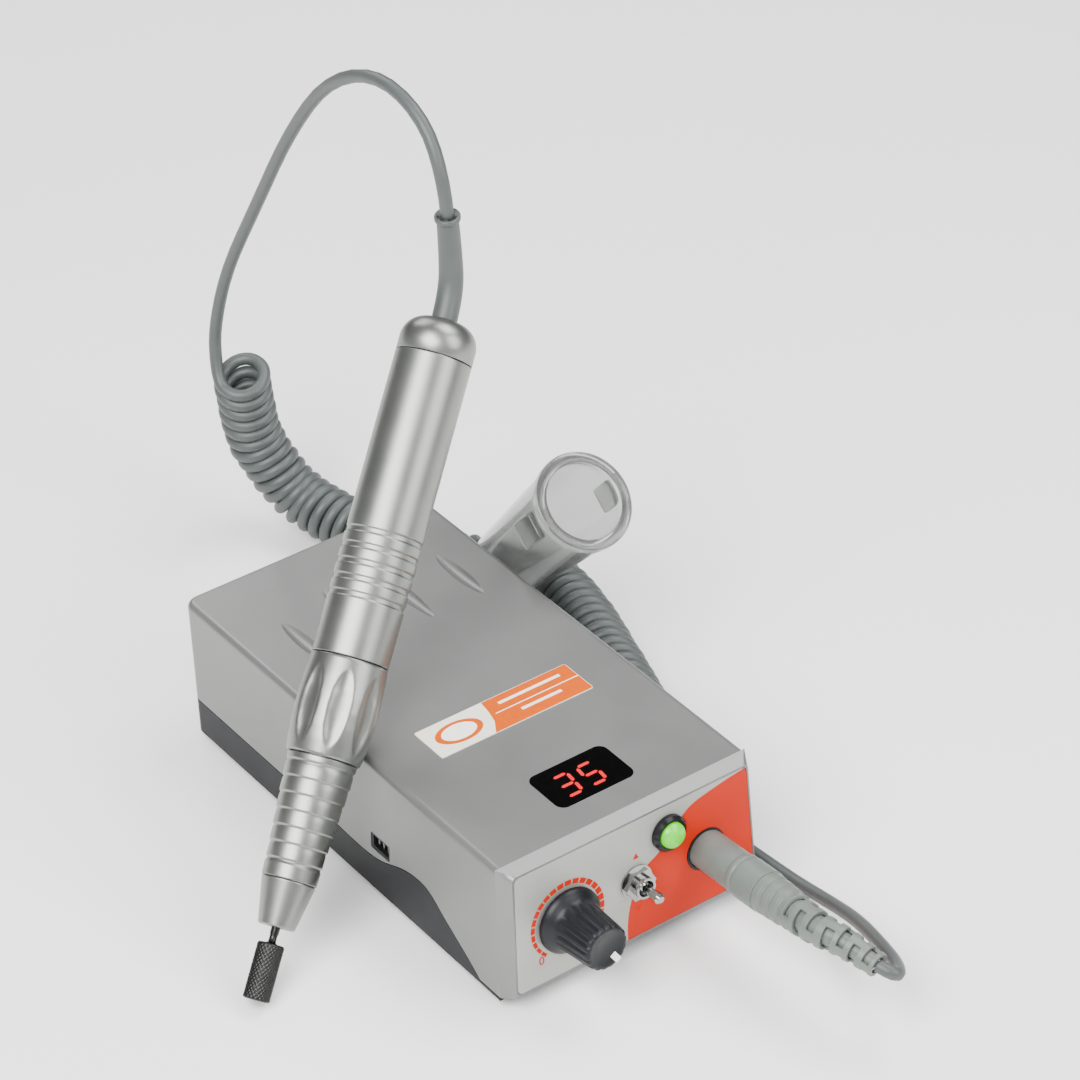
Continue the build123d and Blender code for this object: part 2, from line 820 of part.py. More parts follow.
# Clear cup for the handpiece, its bracket and the bracket's screws
cup_axis = (0, -cos(radians(cup_angle)), sin(radians(cup_angle)))
cup_plane = Plane(origin=cup_mouth, x_dir=(1, 0, 0), z_dir=cup_axis)
with BuildPart() as handpiece_cup:
    cup_section = turned_face(
        cup_plane,
        (0, -cup_length),
        (cup_end_radius - 1.0, -cup_length),
        (cup_end_radius, -cup_length + 1.0),
        (cup_mouth_radius - 0.6, -3.2),
        (cup_mouth_radius, -2.8),
        (cup_mouth_radius, -0.5),
        (cup_mouth_radius - 0.5, 0),
        (cup_mouth_radius - cup_lip_wall, 0),
        (cup_mouth_radius - cup_lip_wall, -3.0),
        (cup_mouth_radius - cup_lip_wall + 0.9, -4.2),
        (cup_end_radius - cup_wall, -cup_length + 2.4),
        (0, -cup_length + 2.4),
    )
    revolve(cup_section, axis=spin(cup_plane))
    # Square lugs on both flanks, under the lip
    with BuildSketch(Plane(origin=cup_plane.from_local_coords((0, 0, -9.5)), x_dir=(0, 1, 0), z_dir=(1, 0, 0))) as lug:
        with Locations(Location((0, 0), -cup_angle)):
            RectangleRounded(cup_lug[1], cup_lug[0], 1.2)
    extrude(amount=cup_mouth_radius + 0.9, both=True)
    lug_clear = turned_face(
        cup_plane,
        (0, -cup_length + 2.4),
        (cup_end_radius - cup_wall, -cup_length + 2.4),
        (cup_mouth_radius - cup_lip_wall + 0.9, -4.2),
        (cup_mouth_radius - cup_lip_wall, -3.0),
        (cup_mouth_radius - cup_lip_wall, 1.0),
        (0, 1.0),
    )
    revolve(lug_clear, axis=spin(cup_plane), mode=Mode.SUBTRACT)
handpiece_cup.part.label = "handpiece_cup"
export_step(handpiece_cup.part, "parts/handpiece_cup.step")

bracket_face = case_width / 2 + side_flare + 0.05
bracket_place = (47.0, 27.0)
with BuildPart() as cup_bracket:
    with BuildSketch(Plane.YZ.offset(bracket_face)):
        with Locations(bracket_place):
            RectangleRounded(24.0, 13.0, 2.0)
    extrude(amount=1.6)
    with BuildSketch(Plane.YZ.offset(bracket_face + 1.5)):
        with Locations(bracket_place):
            Rectangle(9.0, 9.0)
    extrude(amount=8.0)
    revolve(
        turned_face(
            cup_plane,
            (0, -cup_length - 1),
            (cup_end_radius + 0.05, -cup_length - 1),
            (cup_mouth_radius - 0.55, -3.2),
            (0, -3.2),
        ),
        axis=spin(cup_plane),
        mode=Mode.SUBTRACT,
    )
    with BuildSketch(Plane.YZ.offset(bracket_face)):
        with Locations(bracket_place):
            with GridLocations(18.0, 1, 2, 1):
                Circle(1.2)
    extrude(amount=3, mode=Mode.SUBTRACT)
cup_bracket.part.label = "cup_bracket"
export_step(cup_bracket.part, "parts/cup_bracket.step")

with BuildPart() as bracket_screws:
    for side in (-1, 1):
        stand = Plane(
            origin=(bracket_face + 1.62, bracket_place[0] + side * 9.0, bracket_place[1]),
            x_dir=(0, 1, 0),
            z_dir=(1, 0, 0),
        )
        bracket_screw_section = turned_face(
            stand, (0, -1.6), (1.1, -1.6), (1.1, 0), (2.2, 0), (2.2, 0.8), (1.4, 1.3), (0, 1.3)
        )
        revolve(bracket_screw_section, axis=spin(stand))
bracket_screws.part.label = "bracket_screws"
export_step(bracket_screws.part, "parts/bracket_screws.step")

# Handpiece plane: its normal runs from the bit to the cord
lift = radians(handpiece_rise)
swing = radians(handpiece_turn)
handpiece = Plane(
    origin=bit_end,
    x_dir=(cos(swing), -sin(swing), 0),
    z_dir=(sin(swing) * cos(lift), cos(swing) * cos(lift), sin(lift)),
)
handpiece_axis = spin(handpiece)

with BuildPart() as bit:
    bit_section = turned_face(
        handpiece,
        (0, 0),
        (bit_radius - 0.3, 0),
        (bit_radius, 0.3),
        (bit_radius, bit_length - 0.4),
        (bit_radius - 0.4, bit_length),
        (1.0, bit_length),
        (1.0, bit_length + 2.2),
        (shank_radius, bit_length + 2.5),
        (shank_radius, shank_end),
        (0, shank_end),
    )
    revolve(bit_section, axis=handpiece_axis)
bit.part.label = "bit"
export_step(bit.part, "parts/bit.step")

spindle_radius = 3.3
collet_radius = 2.3
bearing_bore = spindle_radius + 0.02
front_bearing = (35.0, 39.0)
rear_bearing = (52.0, 56.0)

with BuildPart() as collet:
    collet_section = turned_face(
        handpiece,
        (shank_radius + 0.02, nose_start + 0.4),
        (1.7, nose_start + 0.4),
        (1.7, nose_start + 3.6),
        (collet_radius, nose_start + 5.0),
        (collet_radius, shank_end + 2.0),
        (shank_radius + 0.02, shank_end + 2.0),
    )
    revolve(collet_section, axis=handpiece_axis)
    with BuildSketch(handpiece.offset(nose_start)):
        with PolarLocations(2.5, 3):
            Rectangle(3.0, 0.35)
    extrude(amount=14.0, mode=Mode.SUBTRACT)
collet.part.label = "collet"
export_step(collet.part, "parts/collet.step")

with BuildPart() as spindle:
    spindle_section = turned_face(
        handpiece,
        (collet_radius + 0.05, nose_start + 4.8),
        (spindle_radius, nose_start + 5.4),
        (spindle_radius, 88.0),
        (0, 88.0),
        (0, shank_end + 2.2),
        (collet_radius + 0.05, shank_end + 2.2),
    )
    revolve(spindle_section, axis=handpiece_axis)
spindle.part.label = "spindle"
export_step(spindle.part, "parts/spindle.step")

with BuildPart() as spindle_bearings:
    for start, finish in (front_bearing, rear_bearing):
        bearing_section = turned_face(
            handpiece,
            (bearing_bore, start),
            (5.5, start),
            (5.5, finish),
            (bearing_bore, finish),
        )
        revolve(bearing_section, axis=handpiece_axis)
spindle_bearings.part.label = "spindle_bearings"
export_step(spindle_bearings.part, "parts/spindle_bearings.step")

with BuildPart() as nose_cap:
    cap_section = turned_face(
        handpiece,
        (2.05, nose_start),
        (nose_cap_radius - 0.25, nose_start),
        (nose_cap_radius, nose_start + 0.25),
        (cone_radius, cone_end - 0.2),
        (cone_radius - 0.15, cone_end),
        (5.95, cone_end),
        (5.95, 26.0),
        (4.2, 26.0),
        (3.9, nose_start + 2.0),
        (2.05, nose_start + 2.0),
    )
    revolve(cap_section, axis=handpiece_axis)
nose_cap.part.label = "nose_cap"
export_step(nose_cap.part, "parts/nose_cap.step")


def nose_profile_radius(height):
    """Radius of the tapered nose at a height along the handpiece."""
    share = (height - ribs_start) / (nose_end - ribs_start)
    return collar_radius + (nose_radius - collar_radius) * share


rib_points = []
for number in range(rib_count):
    low = ribs_start + number * ring_pitch
    rib_points.append((nose_profile_radius(low) - 0.35, low))
    rib_points.append((nose_profile_radius(low) + 0.1, low + 0.55))
    rib_points.append((nose_profile_radius(low + ring_pitch) - 0.1, low + ring_pitch - 0.75))
with BuildPart() as nose_cone:
    nose_section = turned_face(
        handpiece,
        (4.2, 26.2),
        (5.85, 26.2),
        (5.85, cone_end + 0.05),
        (collar_radius - 0.1, cone_end + 0.05),
        (collar_radius, cone_end + 0.2),
        (collar_radius + 0.15, ribs_start - 0.7),
        *rib_points,
        (nose_profile_radius(61.4) - 0.35, ribs_start + rib_count * ring_pitch),
        (nose_profile_radius(61.9), ribs_start + rib_count * ring_pitch + 0.5),
        (nose_radius, nose_end - 0.2),
        (nose_radius - 0.2, nose_end),
        (nose_sleeve, nose_end),
        (nose_sleeve, barrel_start + 2.8),
        (7.4, barrel_start + 2.8),
        (7.4, rear_bearing[1] + 1.5),
        (5.55, rear_bearing[1] + 1.5),
        (5.55, rear_bearing[0] - 0.05),
        (4.2, rear_bearing[0] - 0.05),
        (4.2, front_bearing[1] + 0.05),
        (5.55, front_bearing[1] + 0.05),
        (5.55, front_bearing[0] - 0.05),
        (4.2, front_bearing[0] - 0.05),
    )
    revolve(nose_section, axis=handpiece_axis)
nose_cone.part.label = "nose_cone"
export_step(nose_cone.part, "parts/nose_cone.step")

# Twist ring that opens and locks the collet
with BuildPart() as chuck_ring:
    ring_section = turned_face(
        handpiece,
        (nose_sleeve + running_gap, ring_start),
        (nose_radius + 0.25, ring_start),
        (nose_radius + 0.55, ring_start + 0.5),
        (10.55, 68.0),
        (10.95, 71.5),
        (ring_radius, 76.0),
        (11.1, 80.0),
        (10.75, 85.0),
        (10.4, ring_end - 0.5),
        (10.15, ring_end),
        (nose_sleeve + running_gap, ring_end),
    )
    revolve(ring_section, axis=handpiece_axis)
    flute_middle = (ring_start + ring_end) / 2
    flute_half = 10.6
    for number in range(flute_count):
        turn = Plane(
            origin=handpiece.origin,
            x_dir=handpiece.x_dir.rotate(handpiece_axis, number * 360 / flute_count),
            z_dir=handpiece.z_dir,
        )
        section = Plane(origin=turn.origin, x_dir=turn.x_dir, z_dir=-turn.y_dir)
        flute_out = ring_radius - flute_depth + flute_radius
        with BuildSketch(section):
            with BuildLine():
                ThreePointArc(
                    (flute_out, flute_middle - flute_half),
                    (ring_radius - flute_depth, flute_middle),
                    (flute_out, flute_middle + flute_half),
                )
                Line((flute_out, flute_middle + flute_half), (flute_out, flute_middle - flute_half))
            make_face()
        flute_axis = Axis(turn.from_local_coords((flute_out, 0, 0)), turn.z_dir)
        revolve(axis=flute_axis, mode=Mode.SUBTRACT)
chuck_ring.part.label = "chuck_ring"
export_step(chuck_ring.part, "parts/chuck_ring.step")

with BuildPart() as lock_sleeve:
    sleeve_section = turned_face(
        handpiece, (5.6, 67.0), (7.32, 67.0), (7.32, 82.0), (5.6, 82.0)
    )
    revolve(sleeve_section, axis=handpiece_axis)
lock_sleeve.part.label = "lock_sleeve"
export_step(lock_sleeve.part, "parts/lock_sleeve.step")

with BuildPart() as disc_springs:
    for number in range(4):
        start = 58.6 + 1.5 * number
        disc_section = turned_face(
            handpiece,
            (spindle_radius + 0.05, start),
            (5.2, start + 0.7),
            (5.2, start + 1.2),
            (spindle_radius + 0.05, start + 0.5),
        )
        revolve(disc_section, axis=handpiece_axis)
disc_springs.part.label = "disc_springs"
export_step(disc_springs.part, "parts/disc_springs.step")

# Motor barrel and rear cap
groove_points = []
for number in range(barrel_groove_count):
    low = barrel_groove_start + (number - 0.5) * ring_pitch
    groove_points += [
        (barrel_radius, low + 1.1),
        (barrel_radius - barrel_groove_depth, low + 1.5),
        (barrel_radius - barrel_groove_depth, low + 2.6),
        (barrel_radius, low + 3.0),
    ]
with BuildPart() as motor_housing:
    barrel_section = turned_face(
        handpiece,
        (nose_sleeve + 0.05, barrel_start),
        (barrel_radius - 0.2, barrel_start),
        (barrel_radius, barrel_start + 0.2),
        *groove_points,
        (barrel_radius, barrel_end - 0.2),
        (barrel_radius - 0.2, barrel_end),
        (barrel_radius - barrel_wall, barrel_end),
        (barrel_radius - barrel_wall, barrel_start + 3.0),
        (nose_sleeve + 0.05, barrel_start + 3.0),
    )
    revolve(barrel_section, axis=handpiece_axis)
motor_housing.part.label = "motor_housing"
export_step(motor_housing.part, "parts/motor_housing.step")

handpiece_section = Plane(origin=handpiece.origin, x_dir=handpiece.x_dir, z_dir=-handpiece.y_dir)
with BuildPart() as rear_cap:
    with BuildSketch(handpiece_section):
        with BuildLine():
            dome_start = (barrel_radius, cap_end - cap_round)
            dome_middle = (
                barrel_radius - cap_round * (1 - cos(radians(45))),
                cap_end - cap_round * (1 - sin(radians(45))),
            )
            dome_finish = (barrel_radius - cap_round, cap_end)
            Polyline((barrel_radius - 0.15, barrel_end + 0.25), (barrel_radius, barrel_end + 0.4), dome_start)
            ThreePointArc(dome_start, dome_middle, dome_finish)
            Polyline(
                dome_finish,
                (boot_base + 0.05, cap_end),
                (boot_base + 0.05, cap_end - 2.0),
                (7.6, cap_end - 2.0),
                (7.6, barrel_end - 3.5),
                (barrel_radius - barrel_wall - 0.05, barrel_end - 3.5),
                (barrel_radius - barrel_wall - 0.05, barrel_end + 0.25),
                (barrel_radius - 0.15, barrel_end + 0.25),
            )
        make_face()
    revolve(axis=handpiece_axis)
rear_cap.part.label = "rear_cap"
export_step(rear_cap.part, "parts/rear_cap.step")

# Motor: can, magnets, rotor, shaft, commutator, bearings, brush plate, brushes, coupling
can_radius = barrel_radius - barrel_wall - 0.03
can_start = 98.0
can_end = 165.0
with BuildPart() as motor_can:
    can_section = turned_face(
        handpiece,
        (3.2, can_start),
        (can_radius, can_start),
        (can_radius, can_end),
        (8.1, can_end),
        (8.1, can_start + 0.9),
        (6.0, can_start + 0.9),
        (6.0, can_start + 4.6),
        (5.05, can_start + 4.6),
        (5.05, can_start + 0.9),
        (3.2, can_start + 0.9),
    )
    revolve(can_section, axis=handpiece_axis)
motor_can.part.label = "motor_can"
export_step(motor_can.part, "parts/motor_can.step")

with BuildPart() as motor_magnets:
    for half in (0, 180):
        start_plane = Plane(
            origin=handpiece.origin,
            x_dir=handpiece.x_dir.rotate(handpiece_axis, half + 15),
            z_dir=handpiece.z_dir,
        )
        magnet_section = turned_face(
            start_plane, (6.9, 106.0), (8.05, 106.0), (8.05, 150.0), (6.9, 150.0)
        )
        revolve(magnet_section, axis=handpiece_axis, revolution_arc=150)
motor_magnets.part.label = "motor_magnets"
export_step(motor_magnets.part, "parts/motor_magnets.step")

with BuildPart() as rotor:
    rotor_section = turned_face(
        handpiece, (1.52, 108.0), (6.5, 108.0), (6.5, 148.0), (1.52, 148.0)
    )
    revolve(rotor_section, axis=handpiece_axis)
    with BuildSketch(handpiece.offset(107.0)):
        with PolarLocations(5.6, 5):
            Rectangle(2.4, 1.2)
    extrude(amount=42.0, mode=Mode.SUBTRACT)
rotor.part.label = "rotor"
export_step(rotor.part, "parts/rotor.step")

with BuildPart() as motor_shaft:
    motor_shaft_section = turned_face(handpiece, (0, 89.0), (1.5, 89.0), (1.5, 170.0), (0, 170.0))
    revolve(motor_shaft_section, axis=handpiece_axis)
motor_shaft.part.label = "motor_shaft"
export_step(motor_shaft.part, "parts/motor_shaft.step")

with BuildPart() as commutator:
    commutator_section = turned_face(
        handpiece, (1.52, 151.0), (3.0, 151.0), (3.0, 162.0), (1.52, 162.0)
    )
    revolve(commutator_section, axis=handpiece_axis)
commutator.part.label = "commutator"
export_step(commutator.part, "parts/commutator.step")

with BuildPart() as motor_bearings:
    for start, finish, outer in ((99.1, 102.4, 5.0), (165.5, 168.0, 3.5)):
        motor_bearing_section = turned_face(
            handpiece, (1.52, start), (outer, start), (outer, finish), (1.52, finish)
        )
        revolve(motor_bearing_section, axis=handpiece_axis)
motor_bearings.part.label = "motor_bearings"
export_step(motor_bearings.part, "parts/motor_bearings.step")

with BuildPart() as brush_plate:
    plate_section = turned_face(
        handpiece, (3.55, 165.1), (8.9, 165.1), (8.9, 168.4), (1.9, 168.4), (1.9, 168.1), (3.55, 168.1)
    )
    revolve(plate_section, axis=handpiece_axis)
    with BuildSketch(handpiece.offset(165.2)):
        with PolarLocations(6.6, 2):
            Rectangle(1.8, 3.0)
    extrude(amount=-11.0)
brush_plate.part.label = "brush_plate"
export_step(brush_plate.part, "parts/brush_plate.step")

with BuildPart() as motor_brushes:
    with BuildSketch(handpiece.offset(155.0)):
        with PolarLocations(4.38, 2):
            Rectangle(2.6, 2.4)
    extrude(amount=4.0)
    brush_seat = turned_face(handpiece, (0, 154.0), (3.04, 154.0), (3.04, 160.0), (0, 160.0))
    revolve(brush_seat, axis=handpiece_axis, mode=Mode.SUBTRACT)
motor_brushes.part.label = "motor_brushes"
export_step(motor_brushes.part, "parts/motor_brushes.step")

with BuildPart() as drive_coupling:
    coupling_section = turned_face(
        handpiece,
        (spindle_radius + 0.02, 84.0),
        (4.4, 84.0),
        (4.4, 95.0),
        (1.52, 95.0),
        (1.52, 88.6),
        (spindle_radius + 0.02, 88.6),
    )
    revolve(coupling_section, axis=handpiece_axis)
drive_coupling.part.label = "drive_coupling"
export_step(drive_coupling.part, "parts/drive_coupling.step")

# Bent rubber boot behind the rear cap
boot_start = handpiece.from_local_coords(Vector(0, 0, cap_end - 1.9))
boot_line = cord_path([tuple(boot_start)] + boot_route, "cord_boot")
boot_finish = boot_line @ 1
boot_heading = boot_line % 1
with BuildPart() as cord_boot:
    with BuildSketch(Plane(origin=boot_start, z_dir=boot_line % 0)):
        Circle(boot_base)
    with BuildSketch(Plane(origin=boot_finish, z_dir=boot_heading)):
        Circle(boot_tip)
    sweep(path=boot_line, multisection=True)
    with BuildSketch(Plane(origin=boot_finish - boot_heading * 1.6, z_dir=boot_heading)):
        Circle(boot_tip + 0.45)
    extrude(amount=1.6)
cord_boot.part.label = "cord_boot"
export_step(cord_boot.part, "parts/cord_boot.step")

# Cord: loop from the boot, coiled length, and the tail that lies on the floor
for cord_name, route, radius in (
    ("cord_loop", loop_route, cord_radius),
    ("cord_coil", coil_route, coil_radius),
    ("cord_tail", tail_route, cord_radius),
):
    line = cord_path(route, cord_name)
    with BuildPart() as cord:
        with BuildSketch(Plane(origin=line @ 0, z_dir=line % 0)):
            Circle(radius)
        sweep(path=line)
    expected = 3.14159 * radius**2 * line.length
    print(cord_name, "volume", round(cord.part.volume), "section times length", round(expected))
    cord.part.label = cord_name
    export_step(cord.part, "parts/" + cord_name + ".step")

for name, plane in (("knob", knob_seat), ("toggle", toggle_seat.offset(toggle_pivot)), ("jack", jack_seat)):
    print(name, "at", tuple(round(value, 4) for value in plane.origin), "axis", tuple(plane.z_dir))
print("handpiece axis", tuple(round(value, 5) for value in handpiece.z_dir))
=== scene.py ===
"""Looks of a desktop electric nail drill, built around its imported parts.

Lengths in outlines are millimetres and become metres where a mesh is made.
"""

import json
from math import atan2, cos, pi, radians, sin, tan

import bmesh
import bpy
from bpy.props import FloatProperty, FloatVectorProperty, IntProperty, PointerProperty
from mathutils import Matrix, Vector
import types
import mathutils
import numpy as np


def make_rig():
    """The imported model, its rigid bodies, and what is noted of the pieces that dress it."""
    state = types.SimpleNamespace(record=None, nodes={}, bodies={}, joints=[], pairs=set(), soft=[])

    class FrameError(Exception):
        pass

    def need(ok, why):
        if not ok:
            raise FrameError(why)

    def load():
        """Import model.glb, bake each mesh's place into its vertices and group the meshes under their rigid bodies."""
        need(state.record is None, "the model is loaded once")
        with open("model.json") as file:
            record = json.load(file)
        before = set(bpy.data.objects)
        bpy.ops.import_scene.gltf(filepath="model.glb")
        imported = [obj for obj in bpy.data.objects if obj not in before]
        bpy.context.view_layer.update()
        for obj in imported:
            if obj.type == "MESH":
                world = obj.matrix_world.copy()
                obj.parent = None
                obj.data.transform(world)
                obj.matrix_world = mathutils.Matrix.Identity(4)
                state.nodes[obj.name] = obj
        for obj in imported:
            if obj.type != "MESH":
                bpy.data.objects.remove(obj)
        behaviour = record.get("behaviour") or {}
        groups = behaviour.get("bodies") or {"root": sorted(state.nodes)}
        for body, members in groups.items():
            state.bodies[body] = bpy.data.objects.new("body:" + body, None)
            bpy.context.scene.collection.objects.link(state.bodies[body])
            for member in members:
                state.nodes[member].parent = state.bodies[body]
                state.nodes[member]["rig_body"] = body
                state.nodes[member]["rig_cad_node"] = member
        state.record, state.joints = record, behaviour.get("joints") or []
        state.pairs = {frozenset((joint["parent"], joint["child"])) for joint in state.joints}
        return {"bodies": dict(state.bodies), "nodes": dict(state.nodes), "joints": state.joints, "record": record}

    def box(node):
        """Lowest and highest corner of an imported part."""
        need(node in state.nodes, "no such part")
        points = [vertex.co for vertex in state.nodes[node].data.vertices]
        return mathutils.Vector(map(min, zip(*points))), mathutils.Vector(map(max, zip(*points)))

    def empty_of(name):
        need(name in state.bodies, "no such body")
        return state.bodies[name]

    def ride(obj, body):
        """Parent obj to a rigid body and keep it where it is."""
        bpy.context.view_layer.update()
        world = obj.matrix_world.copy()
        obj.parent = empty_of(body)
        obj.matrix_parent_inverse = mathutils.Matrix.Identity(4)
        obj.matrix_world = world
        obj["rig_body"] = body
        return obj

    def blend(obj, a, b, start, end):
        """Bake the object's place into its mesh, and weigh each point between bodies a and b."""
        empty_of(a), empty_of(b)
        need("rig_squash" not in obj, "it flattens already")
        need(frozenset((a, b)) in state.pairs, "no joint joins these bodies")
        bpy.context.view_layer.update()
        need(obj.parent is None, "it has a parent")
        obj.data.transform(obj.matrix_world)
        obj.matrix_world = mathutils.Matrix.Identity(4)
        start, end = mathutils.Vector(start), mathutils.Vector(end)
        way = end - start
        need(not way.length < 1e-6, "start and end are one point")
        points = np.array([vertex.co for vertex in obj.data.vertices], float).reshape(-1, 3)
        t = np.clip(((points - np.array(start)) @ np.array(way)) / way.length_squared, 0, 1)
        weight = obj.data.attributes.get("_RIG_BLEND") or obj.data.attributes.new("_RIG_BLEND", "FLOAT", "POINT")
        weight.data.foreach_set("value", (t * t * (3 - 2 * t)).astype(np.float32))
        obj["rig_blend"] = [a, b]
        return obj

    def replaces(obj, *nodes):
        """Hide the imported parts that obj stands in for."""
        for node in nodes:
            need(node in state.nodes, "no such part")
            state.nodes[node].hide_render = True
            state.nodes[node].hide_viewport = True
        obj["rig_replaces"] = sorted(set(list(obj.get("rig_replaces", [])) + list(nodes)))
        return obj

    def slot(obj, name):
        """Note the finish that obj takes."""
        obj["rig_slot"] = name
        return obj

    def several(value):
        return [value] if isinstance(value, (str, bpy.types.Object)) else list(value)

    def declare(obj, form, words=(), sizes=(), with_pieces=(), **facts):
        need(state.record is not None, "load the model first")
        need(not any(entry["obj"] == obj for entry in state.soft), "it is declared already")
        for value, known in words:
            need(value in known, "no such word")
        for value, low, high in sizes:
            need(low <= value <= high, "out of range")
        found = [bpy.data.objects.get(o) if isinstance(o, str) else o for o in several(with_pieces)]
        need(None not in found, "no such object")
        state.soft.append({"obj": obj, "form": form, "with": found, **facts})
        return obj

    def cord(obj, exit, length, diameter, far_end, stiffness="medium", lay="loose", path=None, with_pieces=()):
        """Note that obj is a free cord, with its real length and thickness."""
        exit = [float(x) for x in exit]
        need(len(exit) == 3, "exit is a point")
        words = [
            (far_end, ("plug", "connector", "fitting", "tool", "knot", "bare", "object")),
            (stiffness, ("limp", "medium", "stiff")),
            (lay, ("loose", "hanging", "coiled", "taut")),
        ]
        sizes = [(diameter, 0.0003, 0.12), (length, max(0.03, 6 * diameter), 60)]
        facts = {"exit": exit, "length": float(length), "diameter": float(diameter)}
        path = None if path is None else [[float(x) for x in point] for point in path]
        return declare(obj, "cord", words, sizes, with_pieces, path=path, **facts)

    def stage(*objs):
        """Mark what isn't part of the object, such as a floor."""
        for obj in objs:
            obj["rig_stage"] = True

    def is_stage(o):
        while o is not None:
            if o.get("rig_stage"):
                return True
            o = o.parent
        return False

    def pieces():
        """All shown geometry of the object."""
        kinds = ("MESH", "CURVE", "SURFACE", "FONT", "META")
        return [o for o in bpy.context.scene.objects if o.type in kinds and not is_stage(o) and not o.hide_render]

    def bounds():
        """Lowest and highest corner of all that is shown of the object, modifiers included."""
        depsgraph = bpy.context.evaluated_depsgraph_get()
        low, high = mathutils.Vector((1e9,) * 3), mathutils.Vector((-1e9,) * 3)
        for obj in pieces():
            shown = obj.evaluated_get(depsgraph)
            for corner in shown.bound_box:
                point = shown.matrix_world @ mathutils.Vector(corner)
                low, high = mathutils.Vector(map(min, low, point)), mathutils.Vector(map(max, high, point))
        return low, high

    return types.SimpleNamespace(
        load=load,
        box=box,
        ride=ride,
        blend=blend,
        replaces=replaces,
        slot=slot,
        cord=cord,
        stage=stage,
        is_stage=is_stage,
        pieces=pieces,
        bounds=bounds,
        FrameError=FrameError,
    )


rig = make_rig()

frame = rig.load()
cad_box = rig.bounds()

bl_info = {
    "name": "Electric Nail Drill",
    "version": (1, 0, 0),
    "blender": (4, 5, 0),
    "location": "3D View > Sidebar > Nail Drill",
    "description": "Builds the casing, controls, handpiece and curly cord of a nail drill",
    "category": "Add Mesh",
}

MM = 0.001
FULL_TURN = 2 * pi
PANEL_LEAN = radians(4.5)
PANEL_NORMAL = Vector((0, -cos(PANEL_LEAN), sin(PANEL_LEAN)))

# Edge of the orange field on the front film: share across for a share of the film's height
FIELD_FOOT = (0.0, 0.132)
FIELD_HEAD = (1.0, 0.96)
FIELD_BENDS = [(0.34, 0.172), (0.555, 0.268), (0.635, 0.36), (0.85, 0.52), (0.90, 0.575), (0.945, 0.70)]

# Body and slot of the handpiece's turned aluminium pieces
ON_HANDPIECE = ("handpiece", "handpiece_grey")

# How the coil leans back where it hangs: rise for a distance away, easing off over these turns
COIL_LEAN = 0.52
COIL_LEAN_TURNS = 8
COIL_LEAN_WAY = Vector((0.59, 0.81, 0))
# Heights between which the cord goes from moving with the handpiece to lying still
CORD_FREE_ABOVE = 0.058
CORD_STILL_BELOW = 0.020

# Routes of the cord and boot, in metres
BOOT_ROUTE = [(0.0265, 0.0365, 0.1344), (0.0276, 0.0380, 0.1460), (0.0263, 0.0372, 0.1580)]
LOOP_ROUTE = [
    (0.0263, 0.0372, 0.15802),
    (0.0252, 0.0365, 0.1682),
    (0.0260, 0.0455, 0.1825),
    (0.0260, 0.0660, 0.1870),
    (0.0260, 0.0900, 0.1745),
    (0.0260, 0.1105, 0.1490),
    (0.0260, 0.1290, 0.1180),
    (0.0250, 0.1460, 0.0885),
    (0.0225, 0.1505, 0.0680),
]
COIL_ROUTE = [
    (0.0266, 0.1443, 0.0540),
    (0.0272, 0.1432, 0.0355),
    (0.0310, 0.1390, 0.0235),
    (0.0362, 0.1320, 0.0125),
    (0.0405, 0.1180, 0.0098),
    (0.0470, 0.1015, 0.0088),
    (0.0530, 0.0860, 0.0088),
    (0.0645, 0.0730, 0.0088),
    (0.0735, 0.0600, 0.0088),
    (0.0715, 0.0420, 0.0088),
    (0.0665, 0.0250, 0.0088),
    (0.0610, 0.0080, 0.0088),
    (0.0560, -0.0080, 0.0088),
]
TAIL_ROUTE = [
    (0.0519, -0.0210, 0.00205),
    (0.0480, -0.0360, 0.00205),
    (0.0463, -0.0515, 0.00205),
    (0.0475, -0.0670, 0.00205),
    (0.0485, -0.0830, 0.0024),
    (0.0475, -0.0970, 0.0060),
    (0.0445, -0.1125, 0.0115),
    (0.0395, -0.1280, 0.0158),
    (0.0350, -0.1385, 0.0196),
    (0.0294, -0.1450, 0.0230),
    (0.0279, -0.1389, 0.0237),
]


def linear(code):
    """Linear colour of a six-digit sRGB code."""
    parts = [int(code[i:i + 2], 16) / 255 for i in (0, 2, 4)]
    return tuple(c / 12.92 if c <= 0.04045 else ((c + 0.055) / 1.055) ** 2.4 for c in parts)


def colour(code, label, words):
    """Colour property with a default from an sRGB code."""
    return FloatVectorProperty(
        name=label, description=words, subtype="COLOR", size=3, min=0, max=1, default=linear(code)
    )


def length(value, label, words):
    """Length property whose default is given in millimetres."""
    return FloatProperty(name=label, description=words, subtype="DISTANCE", unit="LENGTH", default=value * MM)


def angle(degrees, label, words):
    """Angle property whose default is given in degrees."""
    return FloatProperty(name=label, description=words, subtype="ANGLE", default=radians(degrees))


class CaseFinish(bpy.types.PropertyGroup):
    """Colours of the control box."""

    shell: colour("767675", "Shell", "Silver lacquer of the top shell")
    base: colour("04050A", "Base", "Moulded base tray")
    panel: colour("A3A39E", "Panel", "Silver part of the printed front film")
    accent: colour("B52000", "Accent", "Orange part of the printed front film")
    label_orange: colour("C45200", "Label", "Orange part of the top label")
    label_pale: colour("E6E1D4", "Label end", "Pale end of the top label")
    knob: colour("0A0C11", "Knob", "Speed knob")
    lamp: colour("4FD010", "Lamp", "Lit pilot lamp")
    digits: colour("C8000E", "Digits", "Lit display digits")


